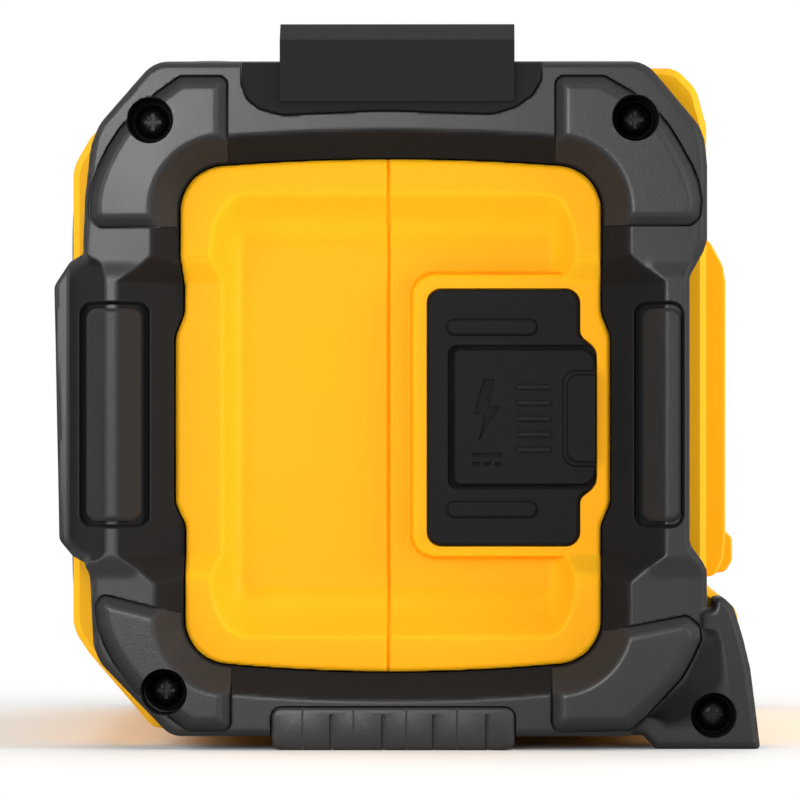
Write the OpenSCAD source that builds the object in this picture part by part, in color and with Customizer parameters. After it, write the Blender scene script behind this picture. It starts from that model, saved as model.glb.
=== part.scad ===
// Jobsite bluetooth speaker: yellow clamshell housing with black end cages.
// X runs along the length, the front faces -Y, Z is up and the ground is Z = 0.
// Depths inside the model are measured from the middle of the end panel, called u.

/* [Housing] */
// Length of the yellow housing between the two end cages
body_len = 204; // [190:1:230]
// Front of the housing, measured from the middle of the end panel
body_front = 77.5; // [76:0.5:84]
// Rear wall of the housing, measured from the middle of the end panel
body_rear = 76; // [74:0.5:82]
// Top of the housing above the ground
body_top = 164; // [160:1:172]
// Underside of the housing above the ground
body_floor = 4; // [3:0.5:5]
// Wall thickness of the housing
wall = 3; // [2:0.25:3.5]

/* [End panel] */
// Width of the yellow end panel
panel_w = 100.6; // [94:0.2:104]
// Distance from the top of the end panel to the top of the housing
panel_top_gap = 23.5; // [22:0.5:27]
// Distance from the underside of the housing to the bottom of the end panel
panel_low_gap = 15.5; // [15:0.5:19]
// Corner radius of the end panel
panel_corner = 11; // [8:0.5:14]
// How far the sides of the panel bulge at mid height
panel_bulge = 1.9; // [1:0.1:3]
// How far the panel border lies below the cage face
border_drop = 8; // [6:0.5:10]
// How far the side fields lie below the panel border
field_drop = 6; // [4:0.25:7]
// Depth of the panel recess below the border
recess_depth = 12; // [10:0.5:13]

/* [Cages] */
// Depth of a cage along the length of the speaker
cage_len = 26; // [24:0.5:30]
// Front edge of the cage, measured from the middle of the end panel
cage_front = 73.6; // [72:0.2:76]
// Rear edge of the cage, measured from the middle of the end panel
cage_rear = 75.2; // [73:0.2:78]
// Underside of the cage above the ground
cage_bottom = 3.3; // [2.5:0.1:4]
// Rear reach of the foot, measured from the middle of the end panel
foot_reach = 88.3; // [86:0.1:94]
// Width of the bevel between the cage face and the end panel
bevel_w = 7; // [5:0.5:8]
// How far the front bumper stands out from the cage
bumper_reach = 6.7; // [5:0.1:9]
// How far a bumper ends from the top and the bottom of the end panel
bumper_gap = 24.5; // [22:0.5:28]
// How far the bumper crest stands above the cage face
crest_rise = 1.2; // [0.6:0.2:4]
// How far the rubber pads stand proud
pad_rise = 1; // [0.6:0.1:1.6]
// Diameter of the counterbores for the cage screws
counterbore_d = 10.6; // [9.8:0.2:11.4]

/* [Handle and top deck] */
// Height of the handle above the cage
handle_rise = 9; // [7:0.5:14]
// Width of the handle bar
handle_w = 30; // [24:1:36]
// Thickness of the handle bar
handle_t = 13; // [11:0.5:15]
// Width of the handle where it lies on the cages
handle_end_w = 56; // [48:1:60]
// Length of the rubber grip
grip_len = 120; // [90:1:140]
// Thickness of the rubber grip
grip_t = 2; // [1.5:0.25:3]
// Width of the hand hollow under the handle
tray_w = 60; // [56:1:61]
// Depth of the hand hollow below the housing top
tray_depth = 36; // [32:1:38]

/* [Controls] */
// Diameter of a push button
button_d = 13; // [11:0.5:14]
// Distance between two push buttons
button_pitch = 20; // [18:0.5:22]
// Height of a button above the control panel
button_rise = 1.6; // [1.2:0.1:2.5]
// Lip of the control panel round its slot
control_lip = 2; // [1.5:0.25:2.5]

/* [Grille and drivers] */
// Yellow margin round the grille
grille_margin = 7; // [6:0.5:10]
// Diameter of a grille hole
grille_hole = 6; // [4:0.5:7]
// Distance between two grille holes
grille_pitch = 9; // [8:0.5:12]
// Depth of the baffle behind the front of the housing
baffle_depth = 11; // [10:0.5:13]
// Distance from a driver to the upper and lower edge of the grille
driver_margin = 10; // [9:0.5:13]
// Gap between a driver and the end of the grille frame
driver_gap = 2; // [1.5:0.5:5]
// Step from the rim of a driver to the back of its basket
basket_step = 13; // [12:0.5:15]

/* [Battery] */
// Width of the battery pack
battery_w = 86; // [76:1:90]
// Gap between the battery bay and the hand hollow
bay_gap = 11.7; // [4:0.1:14]
// Depth of the battery pack
battery_d = 38; // [34:1:42]
// Thickness of the battery door
door_t = 3.4; // [3:0.1:4.5]
// Diameter of the hinge pin
pin_d = 2.4; // [2:0.1:3]

/* [USB bay] */
// Width of the rubber plate around the USB flap
usb_plate_w = 36.4; // [35:0.2:38]
// Height of the rubber plate around the USB flap
usb_plate_h = 61.6; // [54:0.2:64]
// Height of the USB flap
flap_h = 32.8; // [28:0.2:36]
// Thickness of the USB flap
flap_t = 2.2; // [1.8:0.1:2.6]
// Width of the groove round the USB flap
flap_groove = 1; // [0.7:0.1:1.4]

/* [Fits] */
// Clearance between pieces that are fitted together
clearance = 0.3; // [0.2:0.05:0.4]
// Diameter of the cage screws
screw_d = 4; // [3:0.5:4.5]
// Diameter of the small screws
small_screw_d = 3; // [2.5:0.25:3.5]

/* [Hidden] */
$fn = 48;
yellow = "#feb71e";
black = "#4a4849";
rubber = "#2c2b2d";
steel = "#8c8f92";
board_green = "#2f6b45";
far = 400;
skin = 0.01;

// End panel and bumpers, which follow the height of the housing
panel_h = body_top - body_floor - panel_top_gap - panel_low_gap;
panel_z = body_floor + panel_low_gap + panel_h / 2;
bumper_h = panel_h - 2 * bumper_gap;

// Levels along the length, from the middle of the speaker
half_len = body_len / 2;
face_x = half_len + cage_len;
border_x = face_x - border_drop;
field_x = border_x - field_drop;
floor_x = border_x - recess_depth;
crest_x = face_x + crest_rise;
seam_u = -0.8;
seam_groove = 1.2;

// Centre of the end panel over the footprint of the whole speaker
front_reach = cage_front + bumper_reach;
panel_y = (front_reach - foot_reach) / 2;

// Outline of the housing between the cages, in (u, z)
nose_cut = [4, 7];
brow_cut = [19.5, 24];
heel_cut = [19.5, 24];
flare_h = 34.4;
flare_back = 4.3;
body_outline = [
    [-body_front, body_floor + heel_cut[1]],
    [-body_front + nose_cut[0], body_floor + heel_cut[1] - nose_cut[1] + 1],
    [-body_front + heel_cut[0], body_floor],
    [foot_reach - flare_back - 6, body_floor],
    [foot_reach - flare_back, body_floor + 8],
    [foot_reach - flare_back - 0.5, body_floor + flare_h - 5.4],
    [body_rear, body_floor + flare_h],
    [body_rear, body_top - 14],
    [body_rear - 2.5, body_top - 5],
    [body_rear - 7.5, body_top],
    [-body_front + brow_cut[0], body_top],
    [-body_front + nose_cut[0], body_top - brow_cut[1] + nose_cut[1]],
    [-body_front, body_top - brow_cut[1]]
];

// Outline of an end cage, in (u, z)
cage_top = body_top + 0.5;
front_lean = 2.2;
foot_top = 34;
bumper_z = panel_z + 1.4;
notch_z = bumper_h / 2 - 4;
notch_depth = 4.1;
cage_outline = [
    [-cage_front + 20.9, cage_bottom],
    [cage_rear - 15, cage_bottom],
    [cage_rear - 12, 0],
    [foot_reach, 0],
    [foot_reach - 1, 8.3],
    [foot_reach - 4.1, foot_top - 7.6],
    [foot_reach - 6.4, foot_top],
    [foot_reach - 10.5, foot_top + 2.4],
    [cage_rear, foot_top + 0.5],
    [cage_rear, bumper_z - notch_z - 6.4],
    [cage_rear - notch_depth, bumper_z - notch_z],
    [cage_rear - notch_depth, bumper_z + notch_z],
    [cage_rear, bumper_z + notch_z + 8],
    [cage_rear, cage_top - 19],
    [cage_rear - 1.7, cage_top - 15.5],
    [cage_rear - 14.6, cage_top],
    [-cage_front + 16.9, cage_top],
    [-cage_front + 3.8, cage_top - 15],
    [-cage_front, cage_top - 32],
    [-cage_front + front_lean, cage_bottom + 21.5],
    [-cage_front + 4, cage_bottom + 17.4]
];
cage_wall = 3.2;
cage_hollow_x = face_x - 11;

// Screw places of a cage, in (u, z), and their depths
cage_screw_at = [
    [-cage_front + 15.9, cage_top - 14],
    [cage_rear - 16.9, cage_top - 13.5],
    [-cage_front + 19.2, cage_bottom + 10.5],
    [foot_reach - 11.2, body_floor + 4.1]
];
cage_screw_seat = half_len + 10;
cage_screw_len = 22;
cage_screw_head = 3;
cage_boss_d = 8;
cage_boss_len = 16;

// Recess of the end panel: rim and floor as [u low, u high, z low, z high]
rim_box = [6.5 - panel_w / 2, panel_w / 2 - 6.1, panel_z - panel_h / 2 + 6.5, panel_z + panel_h / 2 - 6.9];
floor_box = [rim_box[0] + 9.2, rim_box[1] - 7.1, rim_box[2] + 15.2, rim_box[3] - 10.7];
recess_corner = 8;
field_low = panel_z - bumper_h / 2 + 2.7;
field_high = panel_z + bumper_h / 2 - 4.2;
field_ramp = 5.7;

// USB bay in the right end panel
usb_u = panel_w / 2 - 23.5;
usb_z = panel_z - 0.5;
usb_rim = 3.4;
usb_corner = 3.3;
usb_plate_t = 3.8;
usb_seat_x = field_x - usb_plate_t + 0.4;
usb_top_x = usb_seat_x + usb_plate_t;
usb_right = usb_u + usb_plate_w / 2;
flap_wing = 4;
wing_wall = 1;
flap_seat_x = usb_top_x - flap_t + 0.2 - clearance;
flap_x = flap_seat_x + clearance;
flap_mid_x = flap_x + flap_t / 2;
flap_left = usb_u - usb_plate_w / 2 + 5.2;
flap_right = usb_right + flap_wing;
flap_hinge_u = flap_left + flap_groove + flap_t / 2;
flap_low = usb_z - flap_h / 2;
socket_u = usb_u + 2;
socket_size = [16, 5.8, 13.2];
socket_front_x = usb_seat_x + 1;
usb_board_t = 1.6;
usb_board_len = 24;
usb_board_h = 26;
usb_board_u = socket_u - socket_size[1] / 2 - usb_board_t;
usb_rail = 4;

// Hand hollow and top deck
handle_u = 1.4;
deck_t = 1.5;
deck_lip = 3;
tray_wall = 2.5;
tray_len = body_len - 16;
tray_floor_z = body_top - tray_depth;
tray_bottom_z = tray_floor_z - tray_wall;

// Handle
handle_top = cage_top + handle_rise;
handle_tip_x = face_x + 2;
handle_lip_drop = 9.7;
handle_low = handle_top - handle_t;
bar_end_x = tray_len / 2 - 6;
bar_under = body_top + deck_t + clearance;
handle_screw_x = half_len + cage_len / 2;
handle_screw_u = handle_end_w / 2 - 11;
handle_screw_len = 12;
handle_screw_depth = 5;

// Control panel and buttons
button_count = 7;
control_len = button_count * button_pitch + 20;
button_flange = 1.1;
slot_w = button_d + 2 * button_flange + 1;
slot_len = control_len - 5;
control_w = slot_w + 2 * control_lip;
control_u = handle_u - tray_w / 2 - tray_wall - deck_lip - 1 - control_w / 2;
control_t = 2;
flange_t = 1.5;
button_travel = 0.8;
keypad_gap = button_travel + 0.2;
keypad_t = 1.6;
switch_h = 1;
switch_top_z = body_top - clearance - flange_t - keypad_gap;
keypad_z = switch_top_z - switch_h - keypad_t;
lens_d = 4;

// Grille and drivers
front_low = body_floor + heel_cut[1];
front_high = body_top - brow_cut[1];
driver_z = (front_low + front_high) / 2;
grille_h = front_high - front_low - 2 * grille_margin;
grille_w = body_len - 2 * grille_margin;
grille_corner = 12;
frame_w = 7;
frame_proud = 0.6;
grille_t = 1.2;
grille_ledge = 3;
grille_u = -body_front + 0.6;
baffle_u = -body_front + baffle_depth;
flange_u = baffle_u - 2;
driver_r = grille_h / 2 - driver_margin;
driver_x = grille_w / 2 - frame_w + grille_ledge - driver_gap - driver_r;
basket_depth = 25.5;
basket_back_r = driver_r - basket_step;
magnet_d = 2 * basket_back_r + 4;
coil_len = 8;
cone_r = driver_r - 10;
former_r = 10.3;
pole_r = 9.3;
coil_t = 0.3;
gap_r = former_r + coil_t + 0.4;
roll_r = 2.3;
roll_at = cone_r + 3;
surround_t = 0.7;
magnet_t = 12;
plate_t = 3;
driver_screw_r = driver_r - 2.4;
driver_screw_d = 2.4;
driver_screw_len = 8;

// Clamshell screws
housing_boss_x = half_len - 18;
housing_boss_d = 9;
housing_boss_z = [body_floor + 20, tray_bottom_z - 7.5];
housing_screw_seat = 15;
housing_screw_len = 32;

// Battery bay and door
terminal_t = 4;
bay_floor_u = body_rear - battery_d - terminal_t - 1;
bay_w = battery_w + 2 * clearance;
bay_wall = 2.5;
blade_len = 7;
blade_h = 8;
door_w = bay_w + 22;
door_lap = 7;
door_low = body_floor + flare_h + 1.3;
bay_low = door_low + door_lap;
bay_h = tray_bottom_z - bay_gap - bay_wall - bay_low;
battery_h = bay_h - 2 * clearance;
battery_z = bay_low + bay_h / 2;
nub_out = 3.6;
knuckle_r = 3;
hinge_u = body_rear + 1.2;
hinge_z = battery_z + bay_h / 2 + 4.5;
door_in_u = body_rear + clearance;
door_out_u = door_in_u + door_t;
knuckle_from = 14;
knuckle_to = 34;
pin_len = 96;

// Main board on the back of the battery bay
board_w = battery_w + 18;
board_h = battery_h - 8;
board_t = 1.6;
standoff_len = 6;
standoff_d = 7;
board_u = bay_floor_u - bay_wall - standoff_len - board_t;
board_hole = [battery_w / 2 - 2, board_h / 2 - 5];
capacitor_d = 9;
capacitor_h = 12;
capacitor_pitch = 12;
chip_size = [16, 1.5, 12];
plug_size = [14, 5, 8];
radio_size = [18, 2.4, 24];
radio_at = [-28, 4];
heatsink_size = [18, 9, 30];
heatsink_at = [28, -17];
heatsink_base = 2;
fin_t = 1.6;
fin_count = 5;

// Moves a closed outline inwards by a distance
function unit(v) = v / norm(v);
function inward(a, b) = let (e = unit(b - a)) [-e[1], e[0]];
function inset(points, d) = let (n = len(points)) [
    for (i = [0 : n - 1])
        let (
            before = inward(points[(i + n - 1) % n], points[i]),
            after = inward(points[i], points[(i + 1) % n])
        )
        points[i] + d * (before + after) / (1 + before * after)
];

// Puts the middle of the end panel at its place over the footprint
module place() {
    translate([0, panel_y, 0]) children();
}

// Extrudes an outline drawn in (u, z) along the length
module along_x(from, to) {
    rotate([90, 0, 90]) translate([0, 0, from]) linear_extrude(to - from) children();
}

// Extrudes an outline drawn in (x, z) along the depth
module along_u(from, to) {
    translate([0, to, 0]) rotate([90, 0, 0]) linear_extrude(to - from) children();
}

// Extrudes an outline drawn in (x, u) upwards
module along_z(from, to) {
    translate([0, 0, from]) linear_extrude(to - from) children();
}

module both_ends() {
    children();
    mirror([1, 0, 0]) children();
}

// Rectangle with round corners, centred
module rounded(w, h, r) {
    square([w - 2 * r, h], center = true);
    square([w, h - 2 * r], center = true);
    for (sx = [-1, 1], sy = [-1, 1])
        translate([sx * (w / 2 - r), sy * (h / 2 - r)]) circle(r);
}

// Rectangle with round corners, given as [low, high, low, high]
module rounded_box(box, r) {
    translate([(box[0] + box[1]) / 2, (box[2] + box[3]) / 2])
        rounded(box[1] - box[0], box[3] - box[2], r);
}

// Screw with a flat head at the origin and its shank along -Z
module screw(head_r, head_h, shank_r, shank_len) {
    difference() {
        cylinder(r = head_r, h = head_h);
        translate([0, 0, head_h * 0.4]) cylinder(r = head_r * 0.55, h = head_h, $fn = 6);
    }
    translate([0, 0, -shank_len]) cylinder(r = shank_r, h = shank_len + skin);
}

// Outline of the end panel in (u, z), grown by a distance
module panel_outline(grow) {
    side = panel_w / 2 + grow;
    bulge = side + panel_bulge;
    reach = bumper_h / 2 - 9;
    ramp = 7;
    translate([0, panel_z]) {
        rounded(2 * side, panel_h + 2 * grow, panel_corner + grow);
        polygon([
            [-side, -reach], [side, -reach], [bulge, -reach + ramp], [bulge, reach - ramp],
            [side, reach], [-side, reach], [-bulge, reach - ramp], [-bulge, -reach + ramp]
        ]);
    }
}

// Recess of an end panel with sloping walls, and the low fields at its sides
module end_recess() {
    hull() {
        along_x(floor_x, floor_x + skin) rounded_box(floor_box, recess_corner, $fn = 32);
        along_x(border_x, border_x + skin) rounded_box(rim_box, recess_corner, $fn = 32);
    }
    for (reach = [[-far / 2, floor_box[0] + 2], [floor_box[1] - 2, far / 2]])
        along_u(reach[0], reach[1]) polygon([
            [field_x, field_low], [border_x + 1, field_low - field_ramp],
            [border_x + 1, field_high + field_ramp], [field_x, field_high]
        ]);
}

// Raised boss of the USB bay, which runs into the rear side field
module usb_boss() {
    left = usb_u - usb_plate_w / 2 - usb_rim;
    half = usb_plate_h / 2 + usb_rim;
    along_x(floor_x - wall, field_x)
        rounded_box([left, panel_w / 2, usb_z - half, usb_z + half], usb_corner + usb_rim - 1);
}

// Outline of the rubber plate in the USB bay, with its wing beside the flap
module usb_outline(grow) {
    translate([usb_u, usb_z])
        rounded(usb_plate_w + 2 * grow, usb_plate_h + 2 * grow, usb_corner + grow);
    translate([usb_u, flap_low - flap_groove - wing_wall - grow])
        square([flap_right - usb_u + grow, flap_h + 2 * (flap_groove + wing_wall + grow)]);
}

// Solid housing before it is hollowed
module housing_outer() {
    along_x(-half_len, half_len) polygon(body_outline);
    both_ends() along_x(half_len - wall, border_x) panel_outline(0);
}

// Places of the clamshell screws, drawn along the depth
module at_housing_bosses() {
    for (sx = [-1, 1], z = housing_boss_z)
        translate([sx * housing_boss_x, 0, z]) rotate([-90, 0, 0]) children();
}

// Places of the cage screws on the right end, drawn along the length
module at_cage_screws() {
    for (p = cage_screw_at)
        translate([0, p[0], p[1]]) rotate([0, 90, 0]) children();
}

// What stays solid inside the housing: baffle, battery bay, bosses and rails
module housing_inner_solids() {
    translate([0, 0, driver_z]) along_u(-far / 2, baffle_u + wall)
        rounded(grille_w + 2 * wall, grille_h + 2 * wall, grille_corner + wall);
    translate([0, 0, battery_z]) along_u(bay_floor_u - bay_wall, far / 2)
        rounded(bay_w + 2 * bay_wall, bay_h + 2 * bay_wall, 4);
    at_housing_bosses() translate([0, 0, -far / 2]) cylinder(d = housing_boss_d, h = far);
    both_ends() at_cage_screws()
        translate([0, 0, half_len - wall - cage_boss_len])
            cylinder(d = cage_boss_d, h = cage_boss_len + wall);
    for (sx = [-1, 1], sz = [-1, 1])
        translate([sx * board_hole[0], board_u + board_t, battery_z + sz * board_hole[1]])
            rotate([-90, 0, 0]) cylinder(d = standoff_d, h = standoff_len + skin);
    for (sz = [-1, 1])
        translate([half_len - wall, usb_board_u + usb_board_t / 2, usb_z + sz * usb_board_h / 2])
            cube([2 * wall + recess_depth, 3 * usb_rail, usb_rail], center = true);
}

module housing_cavity() {
    difference() {
        union() {
            along_x(-half_len + wall, half_len - wall) polygon(inset(body_outline, wall));
            both_ends() along_x(half_len - wall - skin, floor_x - wall) panel_outline(-wall);
        }
        housing_inner_solids();
    }
}

// Holes and openings through the housing walls
module housing_cuts() {
    translate([0, 0, driver_z]) along_u(-far / 2, baffle_u) rounded(grille_w, grille_h, grille_corner);
    for (sx = [-1, 1])
        translate([sx * driver_x, 0, driver_z]) rotate([90, 0, 0]) {
            cylinder(r = driver_r - 3.5, h = far);
            for (a = [45 : 90 : 315])
                rotate(a) translate([driver_screw_r, 0, 0])
                    cylinder(d = driver_screw_d + 2 * clearance, h = far);
        }
    translate([0, 0, battery_z]) along_u(bay_floor_u, far / 2) rounded(bay_w, bay_h, 2);
    along_z(body_top - wall - 1, far) translate([0, handle_u])
        square([tray_len + 2 * (tray_wall + clearance), tray_w + 2 * (tray_wall + clearance)], center = true);
    along_z(body_top - wall - 1, far) translate([0, control_u])
        square([slot_len, slot_w], center = true);
    at_housing_bosses() {
        translate([0, 0, housing_screw_seat - housing_screw_len - 1])
            cylinder(d = small_screw_d + 2 * clearance, h = far / 2);
        translate([0, 0, housing_screw_seat]) cylinder(d = 2 * small_screw_d + 1, h = far / 2);
    }
    both_ends() at_cage_screws()
        translate([0, 0, half_len - wall - cage_boss_len + 2]) cylinder(d = screw_d + 2 * clearance, h = far);
    for (sx = [-1, 1], sz = [-1, 1])
        translate([sx * board_hole[0], board_u, battery_z + sz * board_hole[1]])
            rotate([-90, 0, 0]) cylinder(d = small_screw_d, h = standoff_len + board_t);
    for (sx = [-1, 1])
        translate([sx * (knuckle_from + knuckle_to) / 2, hinge_u, hinge_z]) rotate([0, 90, 0])
            cylinder(r = knuckle_r + clearance, h = knuckle_to - knuckle_from + 2 * clearance, center = true);
    both_ends() translate([floor_x - 1, seam_u - seam_groove / 2, 0]) cube([far, seam_groove, far]);
}

// Cuts for the USB bay in the right end
module usb_cuts() {
    along_x(usb_seat_x, far) usb_outline(clearance);
    translate([half_len, socket_u, usb_z])
        cube([far, socket_size[1] + 2 * clearance, socket_size[2] + 2 * clearance], center = true);
    translate([half_len - far / 2, usb_board_u - clearance, usb_z - usb_board_h / 2 - clearance])
        cube([
            far / 2 + floor_x - wall - half_len - 1,
            usb_board_t + 2 * clearance,
            usb_board_h + 2 * clearance
        ]);
}

// Hinge barrels of the battery door on the rear wall
module housing_knuckles() {
    for (reach = [
        [-pin_len / 2, -knuckle_to - clearance],
        [clearance - knuckle_from, knuckle_from - clearance],
        [knuckle_to + clearance, pin_len / 2]
    ])
        translate([reach[0], hinge_u, hinge_z]) rotate([0, 90, 0])
            cylinder(r = knuckle_r, h = reach[1] - reach[0]);
}

module hinge_bore(d) {
    translate([-far / 2, hinge_u, hinge_z]) rotate([0, 90, 0]) cylinder(d = d, h = far);
}

// Whole clamshell, before it is split at the seam
module housing() {
    difference() {
        union() {
            difference() {
                housing_outer();
                housing_cavity();
                housing_cuts();
                mirror([1, 0, 0]) end_recess();
                difference() {
                    end_recess();
                    usb_boss();
                }
                usb_cuts();
            }
            housing_knuckles();
        }
        hinge_bore(pin_d + 0.1);
    }
}

module front_housing() {
    color(yellow) place() intersection() {
        housing();
        translate([-far / 2, -far, -far / 2]) cube([far, far + seam_u, far]);
    }
}

module rear_housing() {
    color(yellow) place() intersection() {
        housing();
        translate([-far / 2, seam_u, -far / 2]) cube([far, far, far]);
    }
}

// Black deck on the top with the hand hollow
module top_deck() {
    color(black) place() translate([0, handle_u, 0]) difference() {
        union() {
            along_z(body_top, body_top + deck_t)
                rounded(tray_len + 2 * (tray_wall + deck_lip), tray_w + 2 * (tray_wall + deck_lip), 4);
            along_z(tray_bottom_z, body_top + skin)
                square([tray_len + 2 * tray_wall, tray_w + 2 * tray_wall], center = true);
        }
        along_z(tray_floor_z, far) rounded(tray_len, tray_w, 6);
    }
}

// Handle bar over the hollow, with wide ends that lie on the cages and lap over their faces
module carry_handle() {
    core_w = handle_w - 2 * grip_t;
    color(black) place() translate([0, handle_u, 0]) difference() {
        union() {
            along_u(-handle_w / 2, handle_w / 2) polygon([
                [-half_len - skin, bar_under], [-bar_end_x - 6, bar_under], [-bar_end_x, handle_low],
                [bar_end_x, handle_low], [bar_end_x + 6, bar_under], [half_len + skin, bar_under],
                [half_len + skin, handle_top], [-half_len - skin, handle_top]
            ]);
            both_ends() {
                along_u(-handle_end_w / 2, handle_end_w / 2) polygon([
                    [half_len, cage_top], [face_x, cage_top], [face_x, cage_top - handle_lip_drop],
                    [handle_tip_x, cage_top - handle_lip_drop], [handle_tip_x, handle_top - 4],
                    [handle_tip_x - 6, handle_top], [half_len, handle_top]
                ]);
            }
        }
        difference() {
            translate([0, 0, (handle_top + handle_low) / 2]) cube([grip_len, far, far], center = true);
            translate([0, 0, (handle_top + handle_low) / 2])
                cube([far, core_w, handle_t - 2 * grip_t], center = true);
        }
        at_handle_screws() {
            cylinder(d = 2 * small_screw_d + 1, h = far);
            translate([0, 0, -far / 2]) cylinder(d = small_screw_d + 2 * clearance, h = far);
        }
    }
}

// Seats of the handle screws, relative to the handle's middle
module at_handle_screws() {
    for (sx = [-1, 1], su = [-1, 1])
        translate([sx * handle_screw_x, su * handle_screw_u, handle_top - handle_screw_depth]) children();
}

module handle_grip() {
    color(rubber) place() translate([0, handle_u, (handle_top + handle_low) / 2]) difference() {
        along_x(-grip_len / 2, grip_len / 2) rounded(handle_w, handle_t, 4);
        cube([far, handle_w - 2 * grip_t, handle_t - 2 * grip_t], center = true);
    }
}

module handle_screws() {
    color(steel) place() translate([0, handle_u, 0]) at_handle_screws()
        screw(small_screw_d, 2, small_screw_d / 2, handle_screw_len);
}

// Places of the push buttons, on the underside of the control panel
module at_button(i) {
    translate([(i - (button_count - 1) / 2) * button_pitch, control_u, body_top]) children();
}

module control_panel() {
    post = 3;
    color(black) place() difference() {
        union() {
            along_z(body_top, body_top + control_t)
                translate([0, control_u]) rounded(control_len, control_w, 4);
            for (sx = [-1, 1])
                translate([sx * (slot_len / 2 - post), control_u, keypad_z + keypad_t])
                    cylinder(d = post, h = body_top - keypad_z - keypad_t + skin);
        }
        for (i = [0 : button_count - 1])
            at_button(i) translate([0, 0, -1]) cylinder(d = button_d + 2 * clearance, h = control_t + 2);
        translate([control_len / 2 - 10, control_u, 0]) cylinder(d = lens_d, h = far);
    }
}

module keypad_board() {
    color(board_green) place() {
        along_z(keypad_z, keypad_z + keypad_t) translate([0, control_u])
            square([slot_len - 1, slot_w - 1], center = true);
        for (i = [0 : button_count - 1])
            at_button(i) translate([0, 0, switch_top_z - switch_h - body_top - skin])
                cylinder(d = 6, h = switch_h + skin);
    }
}

module status_lens() {
    color("#9fd8ff") place() translate([control_len / 2 - 10, control_u, body_top])
        cylinder(d = lens_d - 0.1, h = control_t + 0.3);
}

// Push button with a flange that is held under the control panel
module push_button(i) {
    color(rubber) place() at_button(i) {
        translate([0, 0, -clearance - skin]) cylinder(d = button_d, h = control_t + button_rise + clearance);
        translate([0, 0, -clearance - flange_t]) cylinder(r = button_d / 2 + button_flange, h = flange_t);
    }
}

module power_button() { push_button(0); }
module pair_button() { push_button(1); }
module previous_button() { push_button(2); }
module play_button() { push_button(3); }
module next_button() { push_button(4); }
module volume_down_button() { push_button(5); }
module volume_up_button() { push_button(6); }

// Cross-section of a bumper in (x, u), with u counted outwards from the panel edge
bumper_edge = panel_w / 2 + panel_bulge + clearance;
bumper_root_x = field_x + 2;
crest_at = 12.8;
crest_w = 3.1;
strip_w = 3.1;
strip_x = face_x - 8;
front_span = front_reach - bumper_edge;
function bumper_section(span) = [
    [half_len + 2, 0], [bumper_root_x, 0], [crest_x, crest_at], [crest_x, crest_at + crest_w],
    [strip_x, span - strip_w], [strip_x, span], [half_len + 2, span]
];
bumper_pad_from = 5.4;
bumper_pad_t = 2.2;
rear_span = cage_rear - notch_depth - bumper_edge;

// Bumper across one side of a cage, at the front (-1) or the rear (1)
module bumper_block(side) {
    span = side < 0 ? front_span : rear_span;
    intersection() {
        translate([0, side * bumper_edge, 0]) along_z(bumper_z - bumper_h / 2, bumper_z + bumper_h / 2)
            mirror([0, side < 0 ? 1 : 0]) intersection() {
                polygon(bumper_section(front_span));
                square([far, span]);
            }
        along_u(-far / 2, far / 2) polygon([
            [0, bumper_z - bumper_h / 2], [face_x - 2, bumper_z - bumper_h / 2],
            [crest_x + skin, bumper_z - bumper_h / 2 + 6], [crest_x + skin, bumper_z + bumper_h / 2 - 6],
            [face_x - 2, bumper_z + bumper_h / 2], [0, bumper_z + bumper_h / 2]
        ]);
    }
}

// Rubber pad let into a bumper, grown by a clearance for its pocket
module bumper_pad(side, grow) {
    pad_to = side < 0 ? front_span - 5.8 : rear_span - 1.6;
    pad_h = bumper_h - 17.5;
    translate([0, side * bumper_edge, 0])
        along_z(bumper_z - pad_h / 2 - grow, bumper_z + pad_h / 2 + grow)
        mirror([0, side < 0 ? 1 : 0]) intersection() {
            difference() {
                polygon([for (p = bumper_section(front_span)) p + [grow > 0 ? 2 * pad_rise : pad_rise, 0]]);
                polygon([for (p = bumper_section(front_span)) p - [bumper_pad_t, 0]]);
            }
            translate([face_x - cage_len / 2, bumper_pad_from - grow])
                square([far, pad_to - bumper_pad_from + 2 * grow]);
        }
}

// Corner pads of a cage as outlines in (u, z): what is left of the cage face in each corner
pad_margin = 2.6;
pad_end_u = panel_w / 2 - 11;
pad_end_z = panel_h / 2 - 15.3;
foot_face_u = cage_rear - 1.5;
module corner_pad_outline() {
    difference() {
        intersection() {
            polygon(inset(cage_outline, pad_margin));
            translate([-far, -far]) square([far + foot_face_u, 2 * far]);
        }
        panel_outline(bevel_w + 1.2);
        translate([-pad_end_u, -far]) square([2 * pad_end_u, 2 * far]);
        translate([-far, panel_z - pad_end_z]) square([2 * far, 2 * pad_end_z]);
        for (p = cage_screw_at)
            translate(p) circle(d = counterbore_d + 1.6);
        polygon([
            [cage_rear - 4, foot_top + far], [cage_rear - 4, foot_top - 7], [cage_rear - 17, 0],
            [far, -far], [far, foot_top + far]
        ]);
    }
    difference() {
        intersection() {
            polygon(inset(cage_outline, pad_margin));
            translate([pad_end_u, panel_z + pad_end_z]) square(far);
        }
        panel_outline(bevel_w + 1.2);
        for (p = cage_screw_at)
            translate(p) circle(d = counterbore_d + 1.6);
    }
}

module corner_pads() {
    along_x(face_x, face_x + pad_rise) corner_pad_outline();
}

// Ribbed rubber foot under the middle of a cage
foot_pad_w = 58;
foot_pad_h = 10.2;
foot_pad_depth = 16;
foot_rib_pitch = 12.3;
module foot_pad() {
    difference() {
        translate([face_x - foot_pad_depth, handle_u - 1 - foot_pad_w / 2, 0])
            cube([foot_pad_depth + pad_rise, foot_pad_w, foot_pad_h]);
        for (i = [-2 : 2])
            translate([face_x, handle_u - 1 + i * foot_rib_pitch - foot_rib_pitch / 4, -1])
                cube([2 * pad_rise, foot_rib_pitch / 2, foot_pad_h]);
    }
}

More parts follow.
